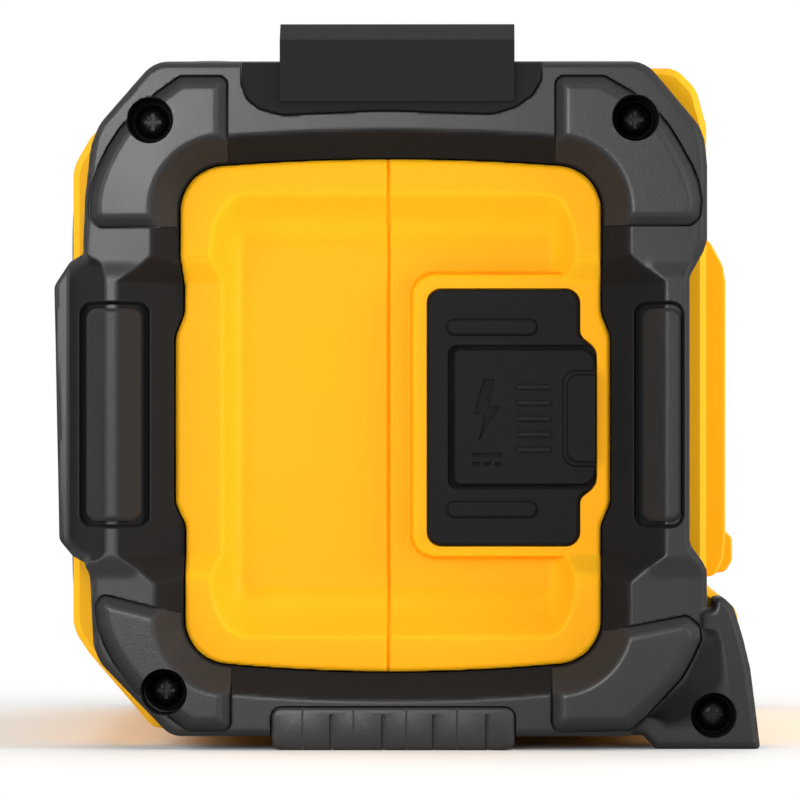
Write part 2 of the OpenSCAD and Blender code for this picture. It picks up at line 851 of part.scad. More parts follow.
// Black end cage round the end panel
module cage() {
    difference() {
        union() {
            difference() {
                along_x(half_len, face_x) polygon(cage_outline);
                hull() {
                    along_x(border_x - 1, border_x - 1 + skin) panel_hull(clearance);
                    along_x(face_x + skin, face_x + 2 * skin) panel_hull(bevel_w);
                }
            }
            bumper_block(-1);
            bumper_block(1);
        }
        along_x(half_len - 1, far) panel_outline(clearance);
        along_x(half_len - 1, cage_hollow_x) cage_hollow();
        at_cage_screws() {
            cylinder(d = screw_d + 2 * clearance, h = far);
            translate([0, 0, cage_screw_seat]) cylinder(d = counterbore_d, h = far);
        }
        bumper_pad(-1, clearance);
        bumper_pad(1, clearance);
        translate([face_x - foot_pad_depth - clearance, handle_u - 1 - foot_pad_w / 2 - clearance, -1])
            cube([far, foot_pad_w + 2 * clearance, foot_pad_h + 1 + clearance]);
        translate([0, handle_u, 0]) at_handle_screws()
            translate([0, 0, -handle_screw_len - 1]) cylinder(d = small_screw_d + 2 * clearance, h = far);
    }
}

// Outline used for the bevel of the cage
module panel_hull(grow) {
    translate([0, panel_z])
        rounded(panel_w + 2 * grow, panel_h + 2 * grow, panel_corner + grow, $fn = 32);
}

// Hollow behind the cage face, between its walls and the screw bosses
module cage_hollow() {
    difference() {
        polygon(inset(cage_outline, cage_wall));
        panel_outline(cage_wall);
        for (p = cage_screw_at)
            translate(p) circle(d = counterbore_d + 5);
        translate([handle_u - 1 - foot_pad_w / 2 - cage_wall, -1])
            square([foot_pad_w + 2 * cage_wall, foot_pad_h + cage_wall + 1]);
        translate([handle_u - handle_end_w / 2, panel_z + panel_h / 2 - 1]) square([handle_end_w, far]);
    }
}

module cage_right() { color(black) place() cage(); }
module cage_left() { color(black) place() mirror([1, 0, 0]) cage(); }
module corner_pads_right() { color(black) place() corner_pads(); }
module corner_pads_left() { color(black) place() mirror([1, 0, 0]) corner_pads(); }
module foot_pad_right() { color(rubber) place() foot_pad(); }
module foot_pad_left() { color(rubber) place() mirror([1, 0, 0]) foot_pad(); }

module bumper_pads_right() {
    color(rubber) place() for (side = [-1, 1]) bumper_pad(side, 0);
}

module bumper_pads_left() {
    color(rubber) place() mirror([1, 0, 0]) for (side = [-1, 1]) bumper_pad(side, 0);
}

module cage_screws() {
    color("#3a3a3c") place() both_ends() at_cage_screws() translate([0, 0, cage_screw_seat])
        screw(screw_d, cage_screw_head, screw_d / 2, cage_screw_len);
}

module housing_screws() {
    color("#3a3a3c") place() at_housing_bosses() translate([0, 0, housing_screw_seat])
        screw(small_screw_d, 2.4, small_screw_d / 2, housing_screw_len);
}

// Black frame that holds the grille in front of the baffle
module grille_frame() {
    inner_w = grille_w - 2 * frame_w;
    inner_h = grille_h - 2 * frame_w;
    color(black) place() translate([0, 0, driver_z]) difference() {
        along_u(-body_front - frame_proud, baffle_u)
            rounded(grille_w - clearance, grille_h - clearance, grille_corner);
        along_u(-far, far) rounded(inner_w, inner_h, grille_corner - 5);
        along_u(grille_u, baffle_u + 1)
            rounded(inner_w + 2 * grille_ledge, inner_h + 2 * grille_ledge, grille_corner - 3);
    }
}

// Perforated steel sheet behind the lip of the frame
module grille() {
    sheet_w = grille_w - 2 * frame_w + 2 * grille_ledge - clearance;
    sheet_h = grille_h - 2 * frame_w + 2 * grille_ledge - clearance;
    rows = floor((grille_h - 2 * frame_w) / grille_pitch / 0.866 / 2 - 0.5);
    columns = floor((grille_w - 2 * frame_w) / grille_pitch / 2 - 1);
    color(steel) place() translate([0, 0, driver_z]) along_u(grille_u, grille_u + grille_t) difference() {
        rounded(sheet_w, sheet_h, grille_corner - 3);
        for (row = [-rows : rows], column = [-columns : columns])
            translate([(column + (abs(row) % 2) / 2) * grille_pitch, row * grille_pitch * 0.866])
                circle(d = grille_hole, $fn = 24);
    }
}

// Frame of a driver: depth runs along +Z from the front of its flange
module driver_at(side) {
    translate([side * driver_x, flange_u, driver_z]) rotate([-90, 0, 0]) children();
}

module basket(side) {
    throat_r = driver_r - 4.5;
    color("#303236") place() driver_at(side) difference() {
        rotate_extrude() polygon([
            [throat_r - 1.5, 0], [driver_r, 0], [driver_r, 2], [throat_r, 2],
            [basket_back_r, basket_depth - 1.5], [basket_back_r, basket_depth],
            [gap_r + 1, basket_depth], [gap_r + 1, basket_depth - 1.5],
            [basket_back_r - 1.5, basket_depth - 1.5], [throat_r - 1.5, 2]
        ]);
        for (a = [0 : 90 : 270])
            rotate(a) translate([basket_back_r - 4, -9, 6]) cube([driver_r, 18, 11]);
        for (a = [45 : 90 : 315])
            rotate(a) translate([driver_screw_r, 0, -1]) cylinder(d = driver_screw_d + clearance, h = 4);
    }
}

module magnet(side) {
    back = basket_depth + plate_t + magnet_t;
    color("#7d8084") place() driver_at(side) rotate_extrude() {
        translate([gap_r, basket_depth]) square([magnet_d / 2 - 2 - gap_r, plate_t]);
        translate([gap_r + 3, basket_depth]) square([magnet_d / 2 - gap_r - 3, plate_t + magnet_t]);
        translate([0, back]) square([magnet_d / 2 - 1, plate_t]);
        translate([0, basket_depth + 0.5]) square([pole_r, magnet_t + plate_t]);
    }
}

cone_depth = 16;
module cone(side) {
    inner_r = former_r - 0.5;
    color("#26262a") place() driver_at(side) rotate_extrude() {
        polygon([
            [cone_r - 1.6, 0], [cone_r, 0], [cone_r, 1.1],
            [former_r, cone_depth + 1.4], [inner_r, cone_depth + 1.4], [inner_r, cone_depth]
        ]);
        translate([inner_r, cone_depth]) square([former_r - inner_r, basket_depth + 8 - cone_depth]);
    }
}

cap_r = 13;
cap_rise = 4;
cap_t = 0.8;
module dust_cap(side) {
    sphere_r = (cap_r * cap_r + cap_rise * cap_rise) / (2 * cap_rise);
    base = cone_depth * (cone_r - 1.6 - cap_r) / (cone_r - 1.6 - former_r + 0.5) - 0.2;
    color("#1f1f22") place() driver_at(side) rotate_extrude() intersection() {
        translate([0, base - cap_rise + sphere_r]) difference() {
            circle(sphere_r, $fn = 96);
            circle(sphere_r - cap_t, $fn = 96);
        }
        translate([0, base - cap_rise - 1]) square([cap_r, cap_rise + 1]);
    }
}

module voice_coil(side) {
    color("#b5713a") place() driver_at(side) rotate_extrude()
        translate([former_r, basket_depth - 1.5]) square([coil_t, coil_len]);
}

// Rubber half roll between the cone and the basket
module surround(side) {
    color("#1c1c1e") place() driver_at(side) rotate_extrude() {
        intersection() {
            translate([roll_at, -surround_t]) difference() {
                circle(roll_r + surround_t / 2);
                circle(roll_r - surround_t / 2);
            }
            translate([0, -far]) square([far, far - surround_t + skin]);
        }
        translate([cone_r - 1.5, -surround_t])
            square([roll_at - roll_r + surround_t / 2 - cone_r + 1.5, surround_t]);
        translate([roll_at + roll_r - surround_t / 2, -surround_t])
            square([driver_screw_r - 2.6 - roll_at - roll_r + surround_t / 2, surround_t]);
    }
}

// Corrugated disc that centres the voice coil
spider_depth = 20;
module spider(side) {
    inner_r = former_r + 0.15;
    outer_r = basket_back_r - 0.6;
    waves = 8;
    step = (outer_r - inner_r) / waves;
    ripple = 0.5;
    top = [for (i = [0 : waves]) [inner_r + i * step, spider_depth + (i % 2) * ripple]];
    bottom = [for (i = [waves : -1 : 0]) [inner_r + i * step, spider_depth + (i % 2) * ripple + 0.5]];
    color("#c9a45c") place() driver_at(side) rotate_extrude() polygon(concat(top, bottom));
}

module driver_screws() {
    color(steel) place() for (side = [-1, 1], a = [45 : 90 : 315])
        driver_at(side) rotate(a) translate([driver_screw_r, 0, 0]) mirror([0, 0, 1])
            screw(driver_screw_d * 0.8, 1.3, driver_screw_d / 2, driver_screw_len);
}

module basket_right() { basket(1); }
module basket_left() { basket(-1); }
module magnet_right() { magnet(1); }
module magnet_left() { magnet(-1); }
module cone_right() { cone(1); }
module cone_left() { cone(-1); }
module dust_cap_right() { dust_cap(1); }
module dust_cap_left() { dust_cap(-1); }
module voice_coil_right() { voice_coil(1); }
module voice_coil_left() { voice_coil(-1); }
module surround_right() { surround(1); }
module surround_left() { surround(-1); }
module spider_right() { spider(1); }
module spider_left() { spider(-1); }

// Main board on standoffs behind the battery bay
module main_board() {
    color(board_green) place() translate([0, 0, battery_z]) difference() {
        union() {
            along_u(board_u, board_u + board_t) rounded(board_w, board_h, 3);
            for (i = [-1 : 1])
                translate([i * capacitor_pitch, board_u + skin, -2 * capacitor_d])
                    rotate([90, 0, 0]) cylinder(d = capacitor_d, h = capacitor_h);
            translate([-10, board_u - chip_size[1], 2]) cube(chip_size + [0, skin, 0]);
            translate([12, board_u - plug_size[1], 16]) cube(plug_size + [0, skin, 0]);
        }
        for (sx = [-1, 1], sz = [-1, 1])
            translate([sx * board_hole[0], board_u - 1, sz * board_hole[1]])
                rotate([-90, 0, 0]) cylinder(d = small_screw_d + 2 * clearance, h = board_t + 2);
    }
}

module bluetooth_module() {
    color(steel) place() translate([0, 0, battery_z])
        along_u(board_u - radio_size[1], board_u)
            translate(radio_at) rounded(radio_size[0], radio_size[2], 1);
}

module heatsink() {
    size = heatsink_size;
    fin_len = size[1] - heatsink_base;
    fin_step = (size[0] - fin_t) / (fin_count - 1);
    color("#a9adb0") place()
        translate([heatsink_at[0] - size[0] / 2, board_u - size[1], battery_z + heatsink_at[1]]) {
            translate([0, fin_len, 0]) cube([size[0], heatsink_base, size[2]]);
            for (i = [0 : fin_count - 1])
                translate([i * fin_step, 0, 0]) cube([fin_t, fin_len + skin, size[2]]);
        }
}

module board_screws() {
    color(steel) place() for (sx = [-1, 1], sz = [-1, 1])
        translate([sx * board_hole[0], board_u, battery_z + sz * board_hole[1]]) rotate([90, 0, 0])
            screw(small_screw_d * 0.9, 1.8, small_screw_d / 2 - 0.1, standoff_len - 1 + board_t);
}

// Rubber plate of the USB bay with the pocket for the flap
module usb_plate() {
    pill = 4;
    color(rubber) place() difference() {
        union() {
            along_x(usb_seat_x, usb_top_x) usb_outline(0);
            for (sz = [-1, 1])
                along_x(usb_top_x - skin, usb_top_x + 0.6)
                    translate([usb_u - 2, usb_z + sz * (usb_plate_h / 2 - 9)])
                        rounded(22, pill, pill / 2 - 0.1);
        }
        along_x(flap_seat_x, far)
            translate([flap_left, flap_low - flap_groove]) square([far, flap_h + 2 * flap_groove]);
        translate([usb_seat_x, socket_u, usb_z])
            cube([
                2 * usb_plate_t,
                socket_size[1] + 2 * clearance,
                socket_size[2] + 2 * clearance
            ], center = true);
    }
}

// Hinged USB flap with grip ribs and a pull tab
module usb_flap() {
    tab_w = 7.9;
    tab_h = 23;
    rib = [8.4, 1];
    color(rubber) place() {
        along_x(flap_x, flap_x + flap_t)
            translate([flap_hinge_u, flap_low]) square([flap_right - flap_hinge_u, flap_h]);
        translate([flap_mid_x, flap_hinge_u, flap_low]) cylinder(d = flap_t, h = flap_h);
        along_x(flap_x + flap_t - skin, flap_x + flap_t + 1.4)
            translate([flap_right - tab_w / 2, usb_z]) rounded(tab_w, tab_h, 2.5);
        for (i = [-2 : 2])
            along_x(flap_x + flap_t - skin, flap_x + flap_t + 0.7)
                translate([flap_right - tab_w - 6.4, usb_z + i * 3.75]) square(rib, center = true);
    }
}

// Open metal shell with a tongue
module usb_socket() {
    shell = 0.5;
    color("#c8cacc") place() translate([socket_front_x - socket_size[0], socket_u, usb_z]) {
        difference() {
            translate([0, -socket_size[1] / 2, -socket_size[2] / 2]) cube(socket_size);
            translate([2, shell - socket_size[1] / 2, shell - socket_size[2] / 2])
                cube([far, socket_size[1] - 2 * shell, socket_size[2] - 2 * shell]);
        }
        translate([0, -1.9, -socket_size[2] / 2 + 1]) cube([socket_size[0] - 1.5, 1.7, socket_size[2] - 2]);
    }
}

module usb_board() {
    color(board_green) place()
        translate([floor_x - wall - 1.5 - usb_board_len, usb_board_u, usb_z - usb_board_h / 2])
        cube([usb_board_len, usb_board_t, usb_board_h]);
}

// Battery pack with slots for the terminal blades
blade_pitch = 10;
blade_at = [for (i = [-1.5 : 1.5]) i * blade_pitch];
blade_t = 1;
module battery_pack() {
    front = bay_floor_u + terminal_t + clearance;
    color(rubber) place() translate([0, 0, battery_z]) difference() {
        along_u(front, front + battery_d) rounded(battery_w, battery_h, 5);
        for (x = blade_at)
            translate([x - blade_t / 2 - 0.7, front - 1, -blade_h / 2 - 1])
                cube([blade_t + 1.4, blade_len + 2, blade_h + 2]);
        for (sx = [-1, 1])
            translate([sx * battery_w / 2, front + battery_d / 2, 0])
                cube([3, 6, battery_h - 20], center = true);
    }
}

module battery_terminals() {
    color("#1f1f22") place() translate([0, bay_floor_u, battery_z]) {
        translate([-2.2 * blade_pitch, 0, -blade_h / 2 - 3])
            cube([4.4 * blade_pitch, terminal_t, blade_h + 6]);
        for (x = blade_at)
            translate([x - blade_t / 2, terminal_t - skin, -blade_h / 2])
                cube([blade_t, blade_len + skin, blade_h]);
    }
}

// Battery door, hinged along its top edge, with a grip nub near its lower edge
module battery_door() {
    plate_top = hinge_z - knuckle_r - 2 * clearance;
    color(yellow) place() difference() {
        union() {
            along_x(-door_w / 2, door_w / 2) polygon([
                [door_in_u, door_low], [door_out_u - 1.5, door_low], [door_out_u, door_low + 3],
                [door_out_u, plate_top - 4], [door_out_u - 1.4, plate_top], [door_in_u, plate_top]
            ]);
            along_x(-20, 20) polygon([
                [door_out_u - skin, door_low + 1.2], [door_out_u + nub_out, door_low + 3.4],
                [door_out_u + nub_out, door_low + 9.6], [door_out_u - skin, door_low + 12]
            ]);
            for (sx = [-1, 1])
                translate([sx * (knuckle_from + knuckle_to) / 2, hinge_u, hinge_z]) {
                    rotate([0, 90, 0])
                        cylinder(r = knuckle_r, h = knuckle_to - knuckle_from, center = true);
                    translate([(knuckle_from - knuckle_to) / 2, door_in_u - hinge_u, plate_top - hinge_z - 1])
                        cube([knuckle_to - knuckle_from, 2, hinge_z - plate_top + 1]);
                }
        }
        hinge_bore(pin_d + 2 * clearance);
    }
}

module hinge_pin() {
    color(steel) place() translate([-pin_len / 2, hinge_u, hinge_z]) rotate([0, 90, 0])
        cylinder(d = pin_d, h = pin_len);
}

front_housing();
rear_housing();
top_deck();
carry_handle();
handle_grip();
handle_screws();
control_panel();
keypad_board();
status_lens();
power_button();
pair_button();
previous_button();
play_button();
next_button();
volume_down_button();
volume_up_button();
cage_right();
cage_left();
corner_pads_right();
corner_pads_left();
bumper_pads_right();
bumper_pads_left();
foot_pad_right();
foot_pad_left();
cage_screws();
housing_screws();
grille_frame();
grille();
basket_right();
basket_left();
magnet_right();
magnet_left();
cone_right();
cone_left();
dust_cap_right();
dust_cap_left();
voice_coil_right();
voice_coil_left();
surround_right();
surround_left();
spider_right();
spider_left();
driver_screws();
main_board();
bluetooth_module();
heatsink();
board_screws();
usb_plate();
usb_flap();
usb_socket();
usb_board();
battery_pack();
battery_terminals();
battery_door();
hinge_pin();
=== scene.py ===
"""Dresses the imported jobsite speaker: fine end panels, cages, rubber, grille, controls, light and camera."""
import math

import bmesh
import bpy
import numpy as np
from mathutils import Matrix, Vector


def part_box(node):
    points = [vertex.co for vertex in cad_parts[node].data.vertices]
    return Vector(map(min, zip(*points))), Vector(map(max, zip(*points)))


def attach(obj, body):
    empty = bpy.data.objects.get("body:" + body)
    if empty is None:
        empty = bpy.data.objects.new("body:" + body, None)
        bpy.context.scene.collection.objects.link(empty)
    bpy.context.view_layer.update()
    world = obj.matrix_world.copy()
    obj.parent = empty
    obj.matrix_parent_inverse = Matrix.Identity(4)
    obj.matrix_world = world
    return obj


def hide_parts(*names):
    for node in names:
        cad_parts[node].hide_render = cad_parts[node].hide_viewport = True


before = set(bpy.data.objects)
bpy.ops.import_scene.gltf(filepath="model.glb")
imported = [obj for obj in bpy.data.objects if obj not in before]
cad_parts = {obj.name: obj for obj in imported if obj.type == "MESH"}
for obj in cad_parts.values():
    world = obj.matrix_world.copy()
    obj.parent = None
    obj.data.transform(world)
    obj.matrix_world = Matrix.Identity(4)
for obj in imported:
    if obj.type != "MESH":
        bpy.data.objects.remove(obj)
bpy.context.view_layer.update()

MM = 0.001
# Points of a CAD mesh that are closer than this are one, in metres
WELD = 2e-6
ROOT = "speaker"
# Depth u is measured from the middle of the end panel, which lies at this Y, in mm
PANEL_Y = -4.0

# Levels along the length, in mm
MID = 102.0
FLOOR = 108.0
FIELD = 114.0
BORDER = 120.0
FACE = 128.0
STRIP = 119.8
# Past every face, for cuts from outside
OUTSIDE = 140
# Place of the seam between the two housing halves
SEAM = -0.8
# Height range of the low side fields and of the bumpers
FIELD_LOW, FIELD_HIGH = 46.7, 111.8


# Outlines in (u, z)

def array(points):
    return np.asarray(points, float)


def turned_left(points):
    """The outline, running anticlockwise."""
    p = array(points)
    q = np.roll(p, -1, 0)
    area = np.sum(p[:, 0] * q[:, 1] - q[:, 0] * p[:, 1])
    return p if area > 0 else p[::-1].copy()


def rounded(points, radius, step=7.0):
    """Closed outline with its corners rounded. radius is one number or one for each corner."""
    p = array(points)
    n = len(p)
    radii = np.broadcast_to(array(radius), (n,))
    out = []
    for i in range(n):
        here, before, after = p[i], p[i - 1], p[(i + 1) % n]
        a, b = before - here, after - here
        la, lb = np.linalg.norm(a), np.linalg.norm(b)
        a, b = a / la, b / lb
        angle = math.acos(max(-1.0, min(1.0, float(a @ b))))
        if radii[i] <= 0 or angle > math.radians(178.5):
            out.append(here)
            continue
        reach = min(radii[i] / math.tan(angle / 2), 0.48 * la, 0.48 * lb)
        r = reach * math.tan(angle / 2)
        middle = (a + b) / np.linalg.norm(a + b)
        centre = here + middle * r / math.sin(angle / 2)
        first, last = here + a * reach - centre, here + b * reach - centre
        start = math.atan2(first[1], first[0])
        turn = math.atan2(last[1], last[0]) - start
        turn = (turn + math.pi) % (2 * math.pi) - math.pi
        count = max(2, int(abs(turn) / math.radians(step)) + 1)
        for k in range(count + 1):
            t = start + turn * k / count
            out.append(centre + r * array([math.cos(t), math.sin(t)]))
    return turned_left(out)


def box(u0, u1, z0, z1, radius=0.0):
    return rounded([(u0, z0), (u1, z0), (u1, z1), (u0, z1)], radius)


def box_at(u, z, half_u, half_z, radius=0.0):
    return box(u - half_u, u + half_u, z - half_z, z + half_z, radius)


def circle(u, z, r, count=40):
    t = np.linspace(0, 2 * math.pi, count, endpoint=False)
    return np.stack([u + r * np.cos(t), z + r * np.sin(t)], 1)


def grown(outline, distance):
    """The outline, moved outwards by a distance or by one distance for each point."""
    p = array(outline)
    ahead = np.roll(p, -1, 0) - p
    ahead /= np.linalg.norm(ahead, axis=1, keepdims=True)
    out_ahead = np.stack([ahead[:, 1], -ahead[:, 0]], 1)
    out_back = np.roll(out_ahead, 1, 0)
    share = 1 + np.sum(out_ahead * out_back, axis=1, keepdims=True)
    return p + np.reshape(distance, (-1, 1)) * (out_ahead + out_back) / np.maximum(share, 0.3)


def inside(u, z, outline):
    """Distance to an outline, positive inside it."""
    p = np.stack([u.ravel(), z.ravel()], 1)
    a = array(outline)
    b = np.roll(a, -1, 0)
    best = np.full(len(p), 1e9)
    within = np.zeros(len(p), bool)
    for (au, az), (bu, bz) in zip(a, b):
        du, dz = bu - au, bz - az
        length = du * du + dz * dz
        if length < 1e-12:
            continue
        pu, pz = p[:, 0] - au, p[:, 1] - az
        t = np.clip((pu * du + pz * dz) / length, 0, 1)
        best = np.minimum(best, (pu - t * du) ** 2 + (pz - t * dz) ** 2)
        if abs(dz) > 1e-12:
            crosses = (p[:, 1] >= min(az, bz)) & (p[:, 1] < max(az, bz))
            within ^= crosses & (p[:, 0] < au + du * (p[:, 1] - az) / dz)
    d = np.sqrt(best)
    return np.where(within, d, -d).reshape(u.shape)


def smin(a, b, k):
    h = np.clip(0.5 + 0.5 * (b - a) / k, 0, 1)
    return b * (1 - h) + a * h - k * h * (1 - h)


def smax(a, b, k):
    return -smin(-a, -b, k)


def smooth(t):
    t = np.clip(t, 0, 1)
    return t * t * (3 - 2 * t)


def lines(low, high, step, fine=()):
    """Grid lines from low to high, closer together inside the fine ranges, given as (low, high, step)."""
    out = [low]
    while out[-1] < high:
        here = out[-1]
        steps = [s for a, b, s in fine if a - step <= here < b]
        out.append(here + min(steps + [step]))
    return array(out)


# Meshes, from points in (x, u, z) in mm

def placed(name, data):
    """New object in the scene."""
    obj = bpy.data.objects.new(name, data)
    bpy.context.scene.collection.objects.link(obj)
    return obj


def build(name, verts, faces):
    data = bpy.data.meshes.new(name)
    data.from_pydata(((array(verts) + (0, PANEL_Y, 0)) * MM).tolist(), [], faces)
    return placed(name, data)


def skinned(name, rings, closed=False):
    """Mesh through rings of points, with a face at each end or, if closed, back to the first ring."""
    n, count = len(rings[0]), len(rings)
    faces = []
    for k in range(count if closed else count - 1):
        a, b = k * n, (k + 1) % count * n
        faces += [(a + i, a + (i + 1) % n, b + (i + 1) % n, b + i) for i in range(n)]
    if not closed:
        last = (count - 1) * n
        faces += [tuple(range(n - 1, -1, -1)), tuple(range(last, last + n))]
    return build(name, np.concatenate(rings), faces)


def loft(name, rings):
    """Closed solid through rings, each an outline in (u, z) and its x. x rises along the outside."""
    return skinned(name, [np.column_stack([np.full(len(o), float(x)), o]) for o, x in rings])


def cushion(name, outline, x0, x1, edge, steps=4):
    """Prism with its outer edge rounded at x1."""
    rings = [(outline, x0)]
    for k in range(steps + 1):
        t = 0.5 * math.pi * k / steps
        rings.append((grown(outline, -edge * (1 - math.cos(t))), x1 - edge * (1 - math.sin(t))))
    return loft(name, rings)


def bar(name, outline, x0, x1, ends):
    """Prism with both ends rounded. ends are (distance from the end, inset of the outline)."""
    rings = [(grown(outline, -inset), x0 + d) for d, inset in ends]
    rings += [(grown(outline, -inset), x1 - d) for d, inset in reversed(ends)]
    return loft(name, rings)


def slab(name, us, zs, height, base):
    """Closed block with the surface x = height(u, z) on a grid, and a flat back at base."""
    u, z = np.meshgrid(us, zs, indexing="ij")
    n, m = u.shape
    # A moulded face is never quite flat, and a trace of waviness also keeps the cuts clean
    wave = 0.0014 * np.sin(2.3 * u + 0.7) * np.sin(2.9 * z)
    top = np.stack([height(u, z) + wave, u, z], -1).reshape(-1, 3)
    index = np.arange(n * m).reshape(n, m)
    quads = np.stack([index[:-1, :-1], index[1:, :-1], index[1:, 1:], index[:-1, 1:]], -1).reshape(-1, 4)
    rim = np.concatenate([index[:-1, 0], index[-1, :-1], index[:0:-1, -1], index[0, :0:-1]])
    low = top[rim].copy()
    low[:, 0] = base
    count = len(rim)
    under = n * m + np.arange(count)
    faces = quads.tolist()
    for i in range(count):
        j = (i + 1) % count
        faces.append((int(rim[i]), int(under[i]), int(under[j]), int(rim[j])))
    faces.append(tuple(int(v) for v in under[::-1]))
    return build(name, np.concatenate([top, low]), faces)


def turned(name, profile, centre, axis, count, closed=False):
    """Solid of revolution from a profile of (radius, height), which runs from the back to the front or, if
    closed, anticlockwise round a ring's section."""
    centre, axis = array(centre), array(axis)
    side = array([0, 0, 1.0]) if abs(axis[2]) < 0.9 else array([0, 1.0, 0])
    other = np.cross(axis, side)
    t = np.linspace(0, 2 * math.pi, count, endpoint=False)
    ring = np.cos(t)[:, None] * side + np.sin(t)[:, None] * other
    return skinned(name, [centre + r * ring + h * axis for r, h in profile], closed)


def flat_solid(name, outline, place):
    """Closed solid from an outline. place maps (a, b, t) to (x, u, z), with t from 0 at the foot to 1."""
    p = turned_left(outline)
    return skinned(name, [array([place(a, b, t) for a, b in p]) for t in (0.0, 1.0)])


def apply_modifiers(obj):
    deps = bpy.context.evaluated_depsgraph_get()
    fresh = bpy.data.meshes.new_from_object(obj.evaluated_get(deps))
    obj.modifiers.clear()
    old = obj.data
    obj.data = fresh
    fresh.name = obj.name
    bpy.data.meshes.remove(old)


def discard(obj):
    data = obj.data
    bpy.data.objects.remove(obj)
    if not data.users:
        bpy.data.meshes.remove(data)


def carve(obj, *tools, operation="DIFFERENCE"):
    for tool in tools:
        mod = obj.modifiers.new("carve", "BOOLEAN")
        mod.operation = operation
        mod.solver = "MANIFOLD"
        mod.object = tool
        apply_modifiers(obj)
        discard(tool)
    return obj


def cut(obj, outline, x0, x1=OUTSIDE, operation="DIFFERENCE"):
    """Carves a piece with a prism."""
    return carve(obj, loft("tool", [(outline, x0), (outline, x1)]), operation=operation)


def joined(name, objs):
    """One object made of several, which are discarded."""
    bm = bmesh.new()
    for o in objs:
        bm.from_mesh(o.data)
    data = bpy.data.meshes.new(name)
    bm.to_mesh(data)
    bm.free()
    for o in objs:
        discard(o)
    return placed(name, data)


def mirrored(name, obj):
    """Copy of a piece for the other end."""
    data = obj.data.copy()
    bm = bmesh.new()
    bm.from_mesh(data)
    for v in bm.verts:
        v.co.x = -v.co.x
    bmesh.ops.reverse_faces(bm, faces=bm.faces)
    bm.to_mesh(data)
    bm.free()
    data.name = name
    return placed(name, data)


def node_box(node):
    """Corners of a CAD node's box, in mm."""
    return [array(corner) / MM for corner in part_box(node)]


def clean_copy(name, node, flat=0.0):
    """Copy of a CAD node with its points welded, and faces merged that lie within an angle of each other."""
    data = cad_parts[node].data.copy()
    data.name = name
    data.materials.clear()
    bm = bmesh.new()
    bm.from_mesh(data)
    bmesh.ops.remove_doubles(bm, verts=bm.verts, dist=WELD)
    if flat:
        bmesh.ops.dissolve_limit(bm, angle_limit=math.radians(flat), verts=bm.verts, edges=bm.edges)
    bm.to_mesh(data)
    bm.free()
    return placed(name, data)


def softened(name, node, width, segments=3, angle=35):
    """Copy of a CAD node with its sharp edges rounded."""
    obj = clean_copy(name, node, flat=1)
    mod = obj.modifiers.new("edges", "BEVEL")
    mod.width = width * MM
    mod.segments = segments
    mod.limit_method = "ANGLE"
    mod.angle_limit = math.radians(angle)
    mod.miter_outer = "MITER_ARC"
    apply_modifiers(obj)
    return obj


def merge_flats(data):
    """Turns the triangles of each flat face into one face."""
    bm = bmesh.new()
    bm.from_mesh(data)
    bmesh.ops.remove_doubles(bm, verts=bm.verts, dist=5e-6)
    bmesh.ops.dissolve_limit(bm, angle_limit=math.radians(0.5), verts=bm.verts, edges=bm.edges)
    bm.to_mesh(data)
    bm.free()


def level_normals(data, sharp):
    """Sets corner normals weighted by face size, so that flats stay even beside rounded edges."""
    corner = np.empty(len(data.loops), int)
    data.loops.foreach_get("vertex_index", corner)
    total = np.empty(len(data.polygons), int)
    data.polygons.foreach_get("loop_total", total)
    face = np.repeat(np.arange(len(total)), total)
    normal = np.empty(3 * len(total))
    data.polygons.foreach_get("normal", normal)
    normal = normal.reshape(-1, 3)
    area = np.empty(len(total))
    data.polygons.foreach_get("area", area)
    order = np.argsort(corner, kind="stable")
    sizes = np.bincount(corner, minlength=len(data.vertices))
    starts = np.cumsum(sizes) - sizes
    at = corner[order]
    repeat = sizes[at]
    first = np.repeat(order, repeat)
    step = np.arange(len(first)) - np.repeat(np.cumsum(repeat) - repeat, repeat)
    second = order[np.repeat(starts[at], repeat) + step]
    there = normal[face[second]]
    alike = (normal[face[first]] * there).sum(1) > math.cos(math.radians(sharp))
    weight = alike * (area[face[second]] * 1e6 + 1e-6) ** 1.5
    result = np.stack([np.bincount(first, weight * there[:, k], len(corner)) for k in range(3)], 1)
    length = np.linalg.norm(result, axis=1, keepdims=True)
    result = np.where(length > 1e-12, result / np.maximum(length, 1e-12), normal[face])
    data.normals_split_custom_set(result.tolist())


def finished(obj, material, body=ROOT, slot=None, nodes=(), sharp=32, flat=False):
    """Shades a piece, gives it its material and body, and hides the CAD nodes that it stands for.

    flat keeps large flat faces even where long triangles meet rounded edges."""
    data = obj.data
    data.materials.clear()
    data.materials.append(material)
    data.polygons.foreach_set("material_index", [0] * len(data.polygons))
    data.polygons.foreach_set("use_smooth", [True] * len(data.polygons))
    data.set_sharp_from_angle(angle=math.radians(sharp))
    data.update()
    if flat:
        level_normals(data, sharp)
    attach(obj, body)
    if nodes:
        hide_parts(*nodes)
    return obj


def finish_pair(name, right, material, slot, **rest):
    """Finishes a piece of the right end and its mirror image at the left end."""
    left = mirrored(name + "_left_piece", right)
    for end, obj in (("_right", right), ("_left", left)):
        finished(obj, material, slot=slot, nodes=[name + end], **rest)


# Materials

BLANK, FULL = (0, 0, 0, 1), (1, 1, 1, 1)
# Painted shade on the cages' drafted walls: their colour is multiplied by this, darker in red and bluer than
# their faces
WALL_SHADE = (0.85, 0.98, 1.1, 1)


def srgb(r, g, b):
    def one(c):
        c /= 255
        return c / 12.92 if c <= 0.04045 else ((c + 0.055) / 1.055) ** 2.4
    return (one(r), one(g), one(b), 1.0)


def scaled(colour, factor, lift=0.0):
    return tuple(min(1.0, c * factor + lift) for c in colour[:3]) + (1.0,)


def plug(tree, value, socket):
    """Links an output to a socket, or sets the socket to a constant."""
    if isinstance(value, bpy.types.NodeSocket):
        tree.links.new(value, socket)
    else:
        socket.default_value = value


